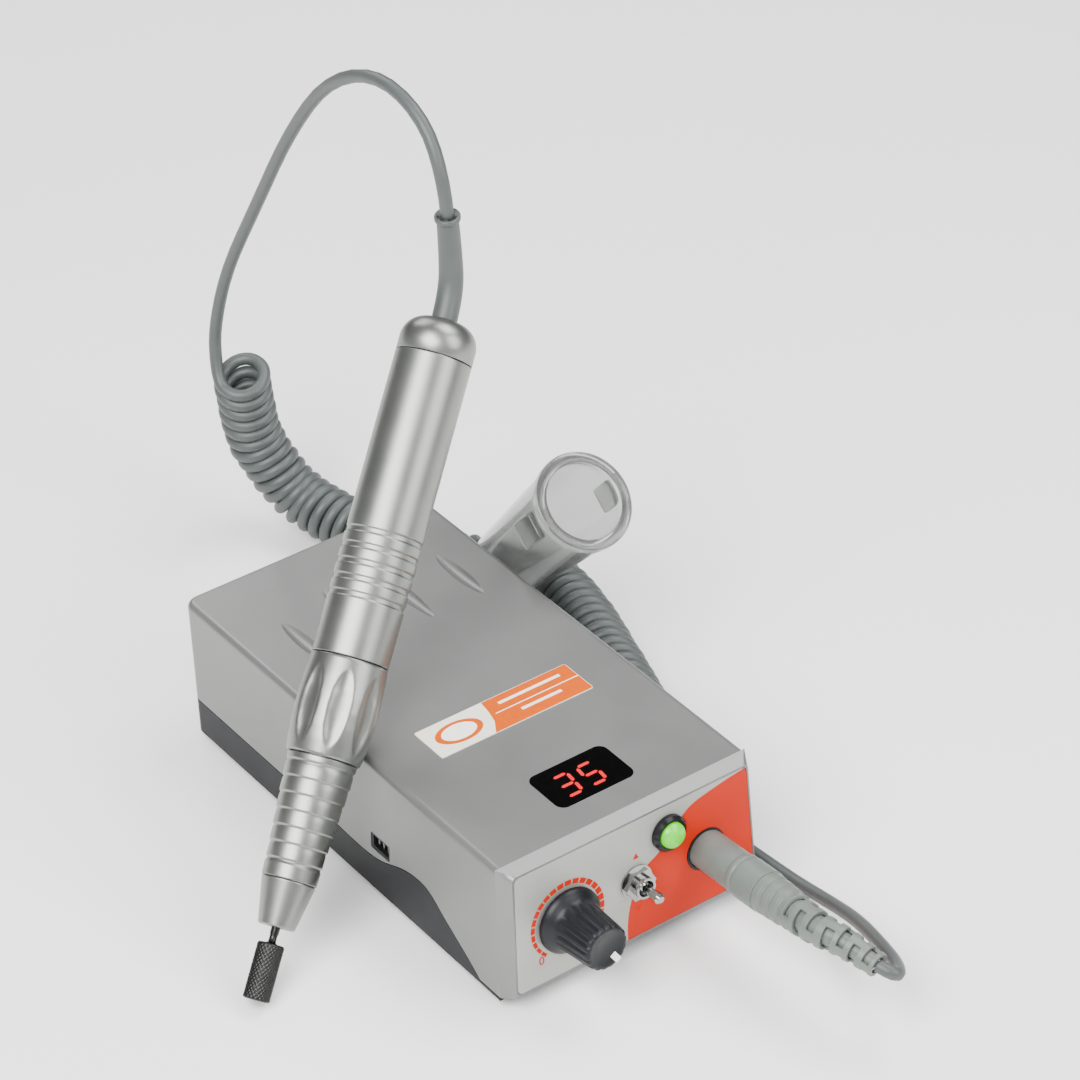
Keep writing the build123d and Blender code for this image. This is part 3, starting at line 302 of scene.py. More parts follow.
class HandpieceFinish(bpy.types.PropertyGroup):
    """Finish and detail of the handpiece."""

    metal: colour("868884", "Metal", "Blasted and anodised aluminium")
    bit: colour("333332", "Bit", "Carbide bit")
    flutes: IntProperty(name="Flutes", description="Scooped flutes round the twist ring", default=8, min=3)
    flute_depth: length(0.95, "Flute depth", "Depth of a flute at its middle")
    tooth_pitch: length(0.95, "Tooth pitch", "Spacing of the bit's teeth round it")


class CordFinish(bpy.types.PropertyGroup):
    """Sizes and colours of the cord and its plug."""

    diameter: length(3.7, "Diameter", "Diameter of the cord")
    coil_radius: length(6.72, "Coil radius", "Radius of the curls, to the middle of the cord")
    pitch: length(3.95, "Pitch", "Distance between neighbouring curls")
    cord: colour("434847", "Cord", "Soft vinyl of the cord")
    plug: colour("606762", "Plug", "Soft vinyl of the plug")


class StageSettings(bpy.types.PropertyGroup):
    """Camera and light."""

    azimuth: angle(-36.28, "Azimuth", "Way the camera faces")
    elevation: angle(35.65, "Elevation", "Height of the camera")
    roll: angle(-0.8, "Roll", "Turn about the view")
    distance: length(1181.8, "Distance", "Camera to target")
    target: FloatVectorProperty(name="Target", description="Point that the camera looks at", subtype="XYZ",
                                unit="LENGTH", default=(0.0745, 0.0644, 0.0182))
    lens: FloatProperty(name="Lens", description="Focal length in millimetres", default=137.0)
    key_power: FloatProperty(name="Key light", description="Power of the large light", default=17.0)


# Materials


def add(tree, kind, settings=None, **links):
    """Adds a shader node, sets its properties and inputs, and links what it is given."""
    node = tree.nodes.new("ShaderNode" + kind)
    for key, value in (settings or {}).items():
        if hasattr(node, key):
            setattr(node, key, value)
        else:
            node.inputs[key.replace("_", " ")].default_value = value
    for key, source in links.items():
        tree.links.new(source, node.inputs[key.replace("_", " ")])
    return node


def shader(name, base, **sockets):
    """Material with a Principled shader whose plain sockets are set directly."""
    material = bpy.data.materials.new(name)
    material.use_nodes = True
    tree = material.node_tree
    body = tree.nodes["Principled BSDF"]
    body.inputs["Base Color"].default_value = (*base, 1)
    material.diffuse_color = (*base, 1)
    for key, value in sockets.items():
        body.inputs[key.replace("_", " ")].default_value = value
    return material, tree, body


def place_of(tree):
    """Object coordinates of the piece."""
    return add(tree, "TexCoord").outputs["Object"]


def grain(tree, body, scale, strength, distance, detail=3.0):
    """Fine bump from noise; the scale is in cycles per metre."""
    noise = add(tree, "TexNoise", {"Scale": scale, "Detail": detail}, Vector=place_of(tree))
    bump = add(tree, "Bump", {"Strength": strength, "Distance": distance}, Height=noise.outputs["Fac"])
    tree.links.new(bump.outputs["Normal"], body.inputs["Normal"])


def vary(tree, body, base, spread, scale):
    """Slow change of colour and roughness over the surface."""
    cloud = add(tree, "TexNoise", {"Scale": scale, "Detail": 4.0}, Vector=place_of(tree))
    shades = add(tree, "ValToRGB", None, Fac=cloud.outputs["Fac"])
    shades.color_ramp.elements[0].position = 0.35
    shades.color_ramp.elements[1].position = 0.68
    shades.color_ramp.elements[0].color = (*(c * (1 - spread) for c in base), 1)
    shades.color_ramp.elements[1].color = (*(min(1, c * (1 + spread)) for c in base), 1)
    tree.links.new(shades.outputs["Color"], body.inputs["Base Color"])
    rough = body.inputs["Roughness"].default_value
    level = add(tree, "MapRange", {"To_Min": rough * 0.9, "To_Max": rough * 1.12}, Value=cloud.outputs["Fac"])
    tree.links.new(level.outputs["Result"], body.inputs["Roughness"])


def finished(name, base, clouds, bumps=None, **sockets):
    """Material whose colour drifts in clouds (share, scale), with a fine grain if it has one."""
    material, tree, body = shader(name, base, **sockets)
    vary(tree, body, base, *clouds)
    if bumps:
        grain(tree, body, *bumps)
    return material


def silver_lacquer(base):
    """Silver metallic lacquer on steel sheet, sprayed: fine flake sparkle under a satin coat."""
    material, tree, body = shader("silver_metallic_lacquer_sprayed", base, Metallic=0.62, Roughness=0.4,
                                  Coat_Weight=0.18, Coat_Roughness=0.3)
    vary(tree, body, base, 0.04, 60)
    flakes = add(tree, "TexVoronoi", {"Scale": 4500.0}, Vector=place_of(tree))
    bump = add(tree, "Bump", {"Strength": 0.05, "Distance": 0.00004}, Height=flakes.outputs["Color"])
    tree.links.new(bump.outputs["Normal"], body.inputs["Normal"])
    return material


def moulded_plastic(name, base, roughness=0.48, bumps=0.18):
    """Moulded ABS with a fine spark-eroded grain that breaks up its highlights."""
    return finished(name, base, (0.08, 90), (2600, bumps, 0.00008), Roughness=roughness, IOR=1.36)


def soft_vinyl(name, base):
    """Soft PVC, extruded: a low sheen with faint draw marks and dust in its hollows."""
    return finished(name, base, (0.07, 140), (1100, 0.12, 0.0001), Roughness=0.46, IOR=1.52)


def rubber(name, base):
    """Natural rubber, moulded: matt and slightly mottled."""
    return finished(name, base, (0.2, 200), (1800, 0.25, 0.0001), Roughness=0.72, IOR=1.52)


def blasted_aluminium(base):
    """Aluminium, bead-blasted and anodised: a satin metal with a soft wide highlight."""
    return finished("aluminium_bead_blasted_anodised", base, (0.035, 120), (6500, 0.14, 0.00003, 2.0),
                    Metallic=1.0, Roughness=0.36)


def steel(name, base, roughness=0.28):
    """Steel, turned: fine tool marks and small changes of gloss."""
    return finished(name, base, (0.06, 400), (5200, 0.08, 0.00002), Metallic=1.0, Roughness=roughness)


def chrome(name):
    """Brass, nickel plated and polished: near mirror with faint handling haze."""
    return finished(name, linear("9C9C9A"), (0.06, 500), Metallic=1.0, Roughness=0.14)


def clear_acrylic(name, tint):
    """Acrylic, injection moulded and clear: sharp edges catch the light, walls stay faintly grey."""
    material, tree, body = shader(name, tint, Roughness=0.12, IOR=1.45, Transmission_Weight=0.92)
    haze = add(tree, "TexNoise", {"Scale": 160.0, "Detail": 3.0}, Vector=place_of(tree))
    level = add(tree, "MapRange", {"To_Min": 0.08, "To_Max": 0.17}, Value=haze.outputs["Fac"])
    tree.links.new(level.outputs["Result"], body.inputs["Roughness"])
    return material


def lit(name, base, strength):
    """Lit plastic: glows evenly, a little brighter in its middle."""
    material, tree, body = shader(name, base, Roughness=0.3, Emission_Strength=strength)
    cloud = add(tree, "TexNoise", {"Scale": 900.0, "Detail": 2.0}, Vector=place_of(tree))
    shades = add(tree, "ValToRGB", None, Fac=cloud.outputs["Fac"])
    shades.color_ramp.elements[0].color = (*(c * 0.75 for c in base), 1)
    shades.color_ramp.elements[1].color = (*base, 1)
    tree.links.new(shades.outputs["Color"], body.inputs["Base Color"])
    tree.links.new(shades.outputs["Color"], body.inputs["Emission Color"])
    return material


def printed_film(name, silver, accent, low, high):
    """Polyester film, screen printed from behind: brushed silver left, flat orange right of a curved edge."""
    material, tree, body = shader(name, silver, Roughness=0.5, Metallic=0.0, IOR=1.25)
    place = add(tree, "SeparateXYZ", None, Vector=place_of(tree))
    height = add(tree, "MapRange", {"From_Min": low, "From_Max": high}, Value=place.outputs["Z"])
    edge = add(tree, "FloatCurve", None, Value=height.outputs["Result"])
    line = edge.mapping.curves[0]
    line.points[0].location = FIELD_FOOT
    line.points[1].location = FIELD_HEAD
    for rise, across in FIELD_BENDS:
        line.points.new(rise, across)
    edge.mapping.update()
    spot = add(tree, "MapRange", {"From_Min": -0.01, "From_Max": 0.04}, Value=place.outputs["X"])
    gap = add(tree, "Math", {"operation": "SUBTRACT"})
    tree.links.new(spot.outputs["Result"], gap.inputs[0])
    tree.links.new(edge.outputs["Value"], gap.inputs[1])
    side = add(tree, "MapRange", {"From_Min": -0.002, "From_Max": 0.002}, Value=gap.outputs[0])
    brushed = add(tree, "Mapping", {"Scale": (30, 1, 900)}, Vector=place_of(tree))
    streaks = add(tree, "TexNoise", {"Scale": 4.0, "Detail": 4.0}, Vector=brushed.outputs[0])
    shades = add(tree, "ValToRGB", None, Fac=streaks.outputs["Fac"])
    shades.color_ramp.elements[0].color = (*(c * 0.9 for c in silver), 1)
    shades.color_ramp.elements[1].color = (*(min(1, c * 1.06) for c in silver), 1)
    inks = add(tree, "MixRGB", None, Fac=side.outputs["Result"], Color1=shades.outputs["Color"])
    inks.inputs["Color2"].default_value = (*accent, 1)
    tree.links.new(inks.outputs["Color"], body.inputs["Base Color"])
    metal = add(tree, "MapRange", {"To_Min": 0.45, "To_Max": 0.0}, Value=side.outputs["Result"])
    tree.links.new(metal.outputs["Result"], body.inputs["Metallic"])
    return material


def ink(name, base):
    """Screen ink: a thin even film with a slightly broken gloss."""
    return finished(name, base, (0.05, 900), Roughness=0.6, IOR=1.15)


# Mesh helpers


def piece(name, mesh_data, body, slot, material, replaces=()):
    """Links a finished mesh or curve to the scene as a piece of a body, or of none if it will be blended."""
    thing = bpy.data.objects.new(name, mesh_data)
    bpy.context.scene.collection.objects.link(thing)
    thing.data.materials.clear()
    thing.data.materials.append(material)
    if body:
        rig.ride(thing, body)
    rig.slot(thing, slot)
    if replaces:
        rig.replaces(thing, *replaces)
    return thing


def to_mesh(bm, name, smooth=True):
    """Writes a bmesh to a new mesh."""
    for face in bm.faces:
        face.smooth = smooth
    data = bpy.data.meshes.new(name)
    bm.to_mesh(data)
    bm.free()
    return data


def placed(name, bm, place, body, slot, material, replaces=(), smooth=True):
    """Puts a finished bmesh in its place and makes it a piece."""
    bmesh.ops.transform(bm, matrix=place, verts=bm.verts)
    return piece(name, to_mesh(bm, name, smooth), body, slot, material, replaces)


def printed(name, bm, place, slot, material, thickness):
    """Gives flat marks a thickness in millimetres and lays them in their place on the box."""
    bmesh.ops.recalc_face_normals(bm, faces=bm.faces)
    grown = bmesh.ops.extrude_face_region(bm, geom=bm.faces[:])["geom"]
    verts = [item for item in grown if isinstance(item, bmesh.types.BMVert)]
    bmesh.ops.translate(bm, verts=verts, vec=(0, 0, thickness * MM))
    bmesh.ops.recalc_face_normals(bm, faces=bm.faces)
    return placed(name, bm, place, "box", slot, material, smooth=False)


def baked(data):
    """Mesh of a curve or of text."""
    holder = bpy.data.objects.new("holder", data)
    bpy.context.scene.collection.objects.link(holder)
    bpy.context.view_layer.update()
    mesh = bpy.data.meshes.new_from_object(holder)
    bpy.data.objects.remove(holder)
    return mesh


def bearing(x, y):
    """Angle of a point about the origin, clockwise from +X."""
    return Vector((1, 0)).angle_signed(Vector((x, y)), 0)


def around(bm):
    """Each vertex of a turned piece, its radius, its height in millimetres and its turn about the axis."""
    for vert in bm.verts:
        across = Vector((vert.co.x, vert.co.y))
        yield vert, across.length, vert.co.z / MM, bearing(*across) / FULL_TURN


def sink(vert, radius, depth):
    """Moves a vertex towards the axis."""
    vert.co.x *= 1 - depth / radius
    vert.co.y *= 1 - depth / radius


def round_edges(thing, width, sharper_than=28):
    """Small rounds on the sharp edges, with the flats kept flat."""
    bevel = thing.modifiers.new("edges", "BEVEL")
    bevel.width = width * MM
    bevel.segments = 2
    bevel.limit_method = "ANGLE"
    bevel.angle_limit = radians(sharper_than)
    normals = thing.modifiers.new("normals", "WEIGHTED_NORMAL")
    normals.keep_sharp = True
    return thing


def standing(origin, direction, across=(1, 0, 0)):
    """Matrix that stands a piece's +Z along a direction from an origin."""
    z = Vector(direction).normalized()
    x = Vector(across)
    x = (x - z * x.dot(z)).normalized()
    y = z.cross(x)
    turn = Matrix((x, y, z)).transposed().to_4x4()
    return Matrix.Translation(origin) @ turn


def spun(outline, segments=96):
    """Solid of revolution about Z from (radius, height) points in millimetres, closed at both ends."""
    bm = bmesh.new()
    verts = [bm.verts.new((radius * MM, 0, height * MM)) for radius, height in outline]
    edges = [bm.edges.new(pair) for pair in zip(verts, verts[1:])]
    bmesh.ops.spin(bm, geom=verts + edges, cent=(0, 0, 0), axis=(0, 0, 1), angle=FULL_TURN, steps=segments,
                   use_merge=True)
    bmesh.ops.remove_doubles(bm, verts=bm.verts, dist=1e-7)
    bmesh.ops.recalc_face_normals(bm, faces=bm.faces)
    return bm


def turned(name, place, outline, body, slot, material, replaces=(), segments=96, edge=0.12):
    """Turned piece with small rounds on its edges."""
    thing = placed(name, spun(outline, segments), place, body, slot, material, replaces)
    return round_edges(thing, edge) if edge else thing


def joint(name):
    """Origin and direction of a joint of the frame."""
    for entry in frame["record"]["behaviour"]["joints"]:
        if entry["name"] == name:
            return Vector(entry.get("pos_m", (0, 0, 0))), Vector(entry["axis"]).normalized()
    raise ValueError("no joint named " + name)


def handpiece_place():
    """Matrix of the handpiece: +Z from the bit's end to the cord."""
    origin, direction = joint("spindle_spin")
    return standing(origin, direction, across=(0, 0, 1))


def panel_place(x, y, lift):
    """Matrix on the front film: millimetres from the middle and from the foot of the front."""
    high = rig.box("front_overlay")[1]
    rise = Vector((0, sin(PANEL_LEAN), cos(PANEL_LEAN)))
    foot_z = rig.box("base_tray")[0][2]
    top_y = high[1] - 0.0003
    face = Vector((0, top_y - (high[2] - foot_z) * tan(PANEL_LEAN), foot_z))
    origin = face + rise * (y * MM) + Vector((x * MM, 0, 0)) + PANEL_NORMAL * (lift * MM)
    return standing(origin, PANEL_NORMAL)


def dressed(material, *nodes):
    """Gives CAD nodes a finer material."""
    for node in nodes:
        thing = frame["nodes"][node]
        if not thing.data.materials:
            thing.data.materials.append(material)
        for slot in thing.material_slots:
            slot.material = material


# Cord


def cord_curve(name, points, diameter, radii=None):
    """Smooth cord along control points."""
    data = bpy.data.curves.new(name, "CURVE")
    data.dimensions = "3D"
    spline = data.splines.new("NURBS")
    spline.points.add(len(points) - 1)
    for knot, place in zip(spline.points, points):
        knot.co = (*place, 1)
    if radii:
        for knot, radius in zip(spline.points, radii):
            knot.radius = radius
    spline.order_u = 3
    spline.use_endpoint_u = True
    spline.resolution_u = 4
    data.resolution_u = 4
    data.bevel_depth = diameter / 2
    data.bevel_resolution = 4
    data.use_fill_caps = True
    return data


def bare_line(data):
    """Points along a curve that has no thickness; the curve is removed."""
    mesh = baked(data)
    line = [vert.co.copy() for vert in mesh.vertices]
    bpy.data.meshes.remove(mesh)
    bpy.data.curves.remove(data)
    return line


def smooth_line(route):
    """Points along the smooth line of a route."""
    data = cord_curve("route", route, 0)
    data.splines[0].resolution_u = 40
    return bare_line(data)


def running_length(line):
    """Length along a line up to each of its points."""
    along = [0.0]
    for before, after in zip(line, line[1:]):
        along.append(along[-1] + (after - before).length)
    return along


def spot_on(along, reach):
    """Index of the step of a line that holds a length along it, and the share of that step."""
    index = 0
    while index < len(along) - 2 and along[index + 1] < reach:
        index += 1
    return index, (reach - along[index]) / (along[index + 1] - along[index])


class CurlyLine:
    """Helix about the smooth line of the coil."""

    def __init__(self, radius, pitch, first, last):
        self.line = smooth_line(COIL_ROUTE)
        self.radius = radius
        self.along = running_length(self.line)
        self.sides = self.carried_sides(Vector(first))
        finish_side = self.sides[-1]
        tangent = self.tangent(len(self.line) - 1)
        last_way = Vector(last)
        last_way = (last_way - tangent * last_way.dot(tangent)).normalized()
        over = tangent.cross(finish_side)
        final = Vector((last_way.dot(finish_side), last_way.dot(over)))
        whole = round(self.along[-1] / pitch)
        self.turns = whole - atan2(final.y, final.x) / FULL_TURN

    def tangent(self, index):
        """Direction of the line at a point."""
        before = self.line[max(index - 1, 0)]
        after = self.line[min(index + 1, len(self.line) - 1)]
        return (after - before).normalized()

    def carried_sides(self, first):
        """A side direction carried along the line without twist."""
        sides = []
        side = first
        for index in range(len(self.line)):
            tangent = self.tangent(index)
            side = (side - tangent * side.dot(tangent)).normalized()
            sides.append(side)
        return sides

    def point(self, turn):
        """Point of the helix after a number of turns."""
        share = turn / self.turns
        reach = min(max(share, 0), 1) * self.along[-1]
        index, part = spot_on(self.along, reach)
        centre = self.line[index].lerp(self.line[index + 1], part)
        tangent = self.tangent(index)
        side = self.sides[index].lerp(self.sides[index + 1], part).normalized()
        over = tangent.cross(side)
        angle = turn * FULL_TURN
        wobble = 1 + 0.012 * sin(turn * 2.3) + 0.01 * sin(turn * 5.1 + 1)
        place = centre + (side * cos(angle) - over * sin(angle)) * self.radius * wobble
        away = (place - centre).dot(COIL_LEAN_WAY)
        return place + Vector((0, 0, COIL_LEAN * away * max(0.0, 1 - turn / COIL_LEAN_TURNS)))


def cord_mesh(name, points, diameter):
    """Mesh of a smooth cord along control points, the line that it follows, and its length."""
    data = cord_curve(name, points, diameter)
    mesh = baked(data)
    data.bevel_depth = 0
    line = bare_line(data)
    mesh.name = name
    for face in mesh.polygons:
        face.use_smooth = True
    return mesh, line, running_length(line)[-1]


class NAILDRILL_OT_stage(bpy.types.Operator):
    """Add the camera, the floor and the studio lights"""

    bl_idname = "naildrill.stage"
    bl_label = "Stage"

    def execute(self, context):
        settings = context.scene.naildrill_stage
        a, e, r = settings.azimuth, settings.elevation, settings.roll
        back = Vector((sin(a) * cos(e), -cos(a) * cos(e), sin(e)))
        right = Vector((cos(a), sin(a), 0))
        up = back.cross(right)
        right, up = right * cos(r) + up * sin(r), up * cos(r) - right * sin(r)
        data = bpy.data.cameras.new("camera")
        data.lens = settings.lens
        data.sensor_width = 36
        data.clip_start = 0.05
        camera = bpy.data.objects.new("camera", data)
        turn = Matrix((right, up, back)).transposed().to_4x4()
        camera.matrix_world = Matrix.Translation(Vector(settings.target) + back * settings.distance) @ turn
        context.scene.collection.objects.link(camera)
        context.scene.camera = camera

        bm = bmesh.new()
        bmesh.ops.create_grid(bm, x_segments=2, y_segments=2, size=3.0)
        floor = bpy.data.objects.new("floor", to_mesh(bm, "floor", smooth=False))
        context.scene.collection.objects.link(floor)
        floor.data.materials.append(finished("paper_white_matt", linear("F6F6F5"), (0.01, 3), Roughness=0.9))
        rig.stage(floor)

        world = bpy.data.worlds.new("studio")
        world.use_nodes = True
        sky = world.node_tree
        view = add(sky, "SeparateXYZ", None, Vector=add(sky, "TexCoord").outputs["Generated"])
        across = add(sky, "MapRange", {"From_Min": -0.9, "From_Max": 0.9}, Value=view.outputs["X"])
        band = add(sky, "ValToRGB", None, Fac=across.outputs["Result"])
        band.color_ramp.elements[0].color = (1.0, 1.0, 1.0, 1)
        band.color_ramp.elements[1].color = (0.42, 0.44, 0.47, 1)
        for position, shade in ((0.36, 0.86), (0.52, 0.3), (0.66, 0.85)):
            band.color_ramp.elements.new(position).color = (shade, shade, shade * 1.02, 1)
        level = add(sky, "MapRange", {"From_Min": -1.0, "To_Min": 1.0, "To_Max": 0.34},
                    Value=view.outputs["Y"])
        sky.links.new(band.outputs["Color"], sky.nodes["Background"].inputs["Color"])
        sky.links.new(level.outputs["Result"], sky.nodes["Background"].inputs["Strength"])
        context.scene.world = world
        middle = Vector((0.0, 0.0, 0.05))
        for name, way, reach, size, power in (
            ("key", (-0.75, -0.35, 0.9), 0.9, 0.55, settings.key_power),
            ("front", (0.4, -0.8, 0.6), 1.0, 0.55, settings.key_power * 0.45),
            ("over", (0.48, -0.02, 0.87), 1.0, 0.5, settings.key_power * 0.5),
            ("back", (0.2, 1.0, 0.9), 1.1, 0.5, settings.key_power * 0.3),
        ):
            lamp = bpy.data.lights.new(name, "AREA")
            lamp.shape = "RECTANGLE"
            lamp.size = size
            lamp.size_y = size * 1.2
            lamp.energy = power
            thing = bpy.data.objects.new(name, lamp)
            direction = Vector(way).normalized()
            thing.matrix_world = standing(middle + direction * reach, direction)
            context.scene.collection.objects.link(thing)
        return {"FINISHED"}


class NAILDRILL_OT_cord(bpy.types.Operator):
    """Add the curly cord, from the handpiece's boot to the plug"""

    bl_idname = "naildrill.cord"
    bl_label = "Curly cord"

    def execute(self, context):
        finish = context.scene.naildrill_cord
        diameter = finish.diameter
        vinyl = soft_vinyl("vinyl_cord_extruded", finish.cord)
        helix = CurlyLine(finish.coil_radius, finish.pitch, (-0.81, 0.59, 0), (0, 0, -1))
        steps = 14
        middle = round(helix.turns * 0.5) * steps
        count = round(helix.turns * steps)
        curls = [helix.point(helix.turns * number / count) for number in range(count + 1)]

        lead_in = curls[0] + Vector((-0.0002, 0.0004, 0.0042))
        first = [Vector(place) for place in LOOP_ROUTE] + [lead_in]
        mesh, line, reach = cord_mesh("cord_to_handpiece", first + curls[1:middle + 1], diameter)
        upper_cord = piece("cord_to_handpiece", mesh, None, "cord_grey", vinyl, ("cord_loop", "cord_coil"))
        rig.cord(upper_cord, exit=LOOP_ROUTE[0], length=round(reach, 2), diameter=diameter,
                far_end="object", stiffness="medium", lay="loose", path=line)
        x, y = COIL_ROUTE[0][:2]
        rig.blend(upper_cord, "handpiece", "box", start=(x, y, CORD_FREE_ABOVE), end=(x, y, CORD_STILL_BELOW))

        tail = [Vector(place) for place in TAIL_ROUTE]
        mesh, line, reach = cord_mesh("cord_to_plug", curls[middle:] + tail, diameter)
        lower_cord = piece("cord_to_plug", mesh, None, "cord_grey", vinyl, ("cord_tail",))
        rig.cord(lower_cord, exit=tuple(curls[middle]), length=round(reach, 2), diameter=diameter,
                far_end="plug", stiffness="medium", lay="loose", path=line,
                with_pieces=[frame["nodes"]["plug_pins"]] + build_plug(finish))
        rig.blend(lower_cord, "plug", "box", start=TAIL_ROUTE[-3], end=TAIL_ROUTE[2])
        return {"FINISHED"}


def build_plug(finish):
    """Plug barrel, collar and slotted strain relief, as separate pieces."""
    vinyl = soft_vinyl("vinyl_plug_moulded", finish.plug)
    origin, direction = joint_of_jack()
    place = standing(origin, direction)
    barrel = turned(
        "plug_barrel",
        place,
        [(4.5, -8), (5.45, -8), (5.45, 14.2), (5.8, 14.6), (5.8, 15.8), (5.5, 16.1), (5.5, 16.5), (5.9, 16.8),
         (5.9, 24.8), (0, 24.8), (0, -0.9), (4.5, -0.9), (4.5, -8)],
        "plug", "plug_grey", vinyl, ("plug_body",), edge=0.25,
    )
    relief, core = slotted_relief(place, vinyl)
    dressed(steel("brass_pin_turned", linear("C9A24A")), "plug_pins")
    return [barrel, relief, core]


def joint_of_jack():
    """Middle of the jack on the front film, and its direction."""
    low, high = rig.box("plug_pins")
    middle = (Vector(low) + Vector(high)) / 2
    direction = joint("plug_pull")[1]
    return middle + direction * (3.92 * MM), direction


def slotted_relief(place, vinyl):
    """Tapered sleeve cut by rows of slots that alternate by a quarter turn, bent along the cord."""
    sides = 36
    start = 24.8
    foot_radius, narrowing, groove_depth, wall = 5.75, 2.35, 0.55, 0.00115
    groove_floors = (3, 4, 7, 8, 11, 12)
    finish = Vector(TAIL_ROUTE[-1])
    base = place @ Vector((0, 0, start * MM))
    heading = (place.to_3x3() @ Vector((0, 0, 1))).normalized()
    line = smooth_line([base, base + heading * 0.010, base + heading * 0.022,
                        base.lerp(finish, 0.72) + Vector((-0.0008, 0, 0.0016)), finish])
    along = running_length(line)
    total = along[-1]
    levels = [0.0, 0.4, 2.2, 2.5, 3.3, 3.6, 5.4, 5.7, 6.5, 6.8, 8.6, 8.9, 9.6]
    rows = 7
    step = (total / MM - levels[-1] - 1.2) / rows
    kinds = ["band"] * len(levels)
    for row in range(rows):
        levels += [levels[-1] + step * 0.46, levels[-1] + step]
        kinds += ["band", "slot" + str(row % 2)]
    levels.append(total / MM)
    kinds.append("band")
    bm = bmesh.new()
    ring = bmesh.ops.create_circle(bm, segments=sides, radius=1.0)["verts"]
    rings = [ring]
    edges = list({edge for vert in ring for edge in vert.link_edges})
    strips = []
    for _ in levels[1:]:
        grown = bmesh.ops.extrude_edge_only(bm, edges=edges)["geom"]
        edges = [item for item in grown if isinstance(item, bmesh.types.BMEdge)
                 and all(vert in grown for vert in item.verts) and len(item.link_faces) == 1]
        strips.append([item for item in grown if isinstance(item, bmesh.types.BMFace)])
        rings.append([item for item in grown if isinstance(item, bmesh.types.BMVert)])
    for number, verts in enumerate(rings):
        share = levels[number] * MM / total
        radius = foot_radius - narrowing * share ** 1.05
        if number in groove_floors:
            radius -= groove_depth
        for vert in verts:
            vert.co = Vector((vert.co.x * radius * MM, vert.co.y * radius * MM, levels[number] * MM))
    gone = []
    for kind, strip in zip(kinds[1:], strips):
        if not kind.startswith("slot"):
            continue
        turn = int(kind[-1]) * pi / 2
        for face in strip:
            centre = face.calc_center_median()
            angle = (bearing(centre.x, centre.y) + turn) % pi
            if radians(20) < angle < radians(160):
                gone.append(face)
    bmesh.ops.delete(bm, geom=gone, context="FACES")
    bmesh.ops.recalc_face_normals(bm, faces=bm.faces)
    bmesh.ops.solidify(bm, geom=bm.faces[:], thickness=wall)
    bmesh.ops.recalc_face_normals(bm, faces=bm.faces)
    side = (place.to_3x3() @ Vector((1, 0, 0))).normalized()
    for vert in bm.verts:
        reach = min(max(vert.co.z, 0), total * 0.9999)
        index, part = spot_on(along, reach)
        centre = line[index].lerp(line[index + 1], part)
        tangent = (line[min(index + 2, len(line) - 1)] - line[max(index - 1, 0)]).normalized()
        across = (side - tangent * side.dot(tangent)).normalized()
        over = tangent.cross(across)
        vert.co = centre + across * vert.co.x + over * vert.co.y + tangent * (vert.co.z - reach)
    thing = piece("plug_relief", to_mesh(bm, "plug_relief"), "plug", "plug_grey", vinyl,
                  ("plug_strain_relief",))
    spine = [line[number] for number in range(0, len(line), 12)]
    taper = [1.0 - 0.5 * number / (len(spine) - 1) for number in range(len(spine))]
    core = piece("plug_core", cord_curve("plug_core", spine, 8.6 * MM, taper), "plug", "plug_grey", vinyl)
    return round_edges(thing, 0.22, 40), core


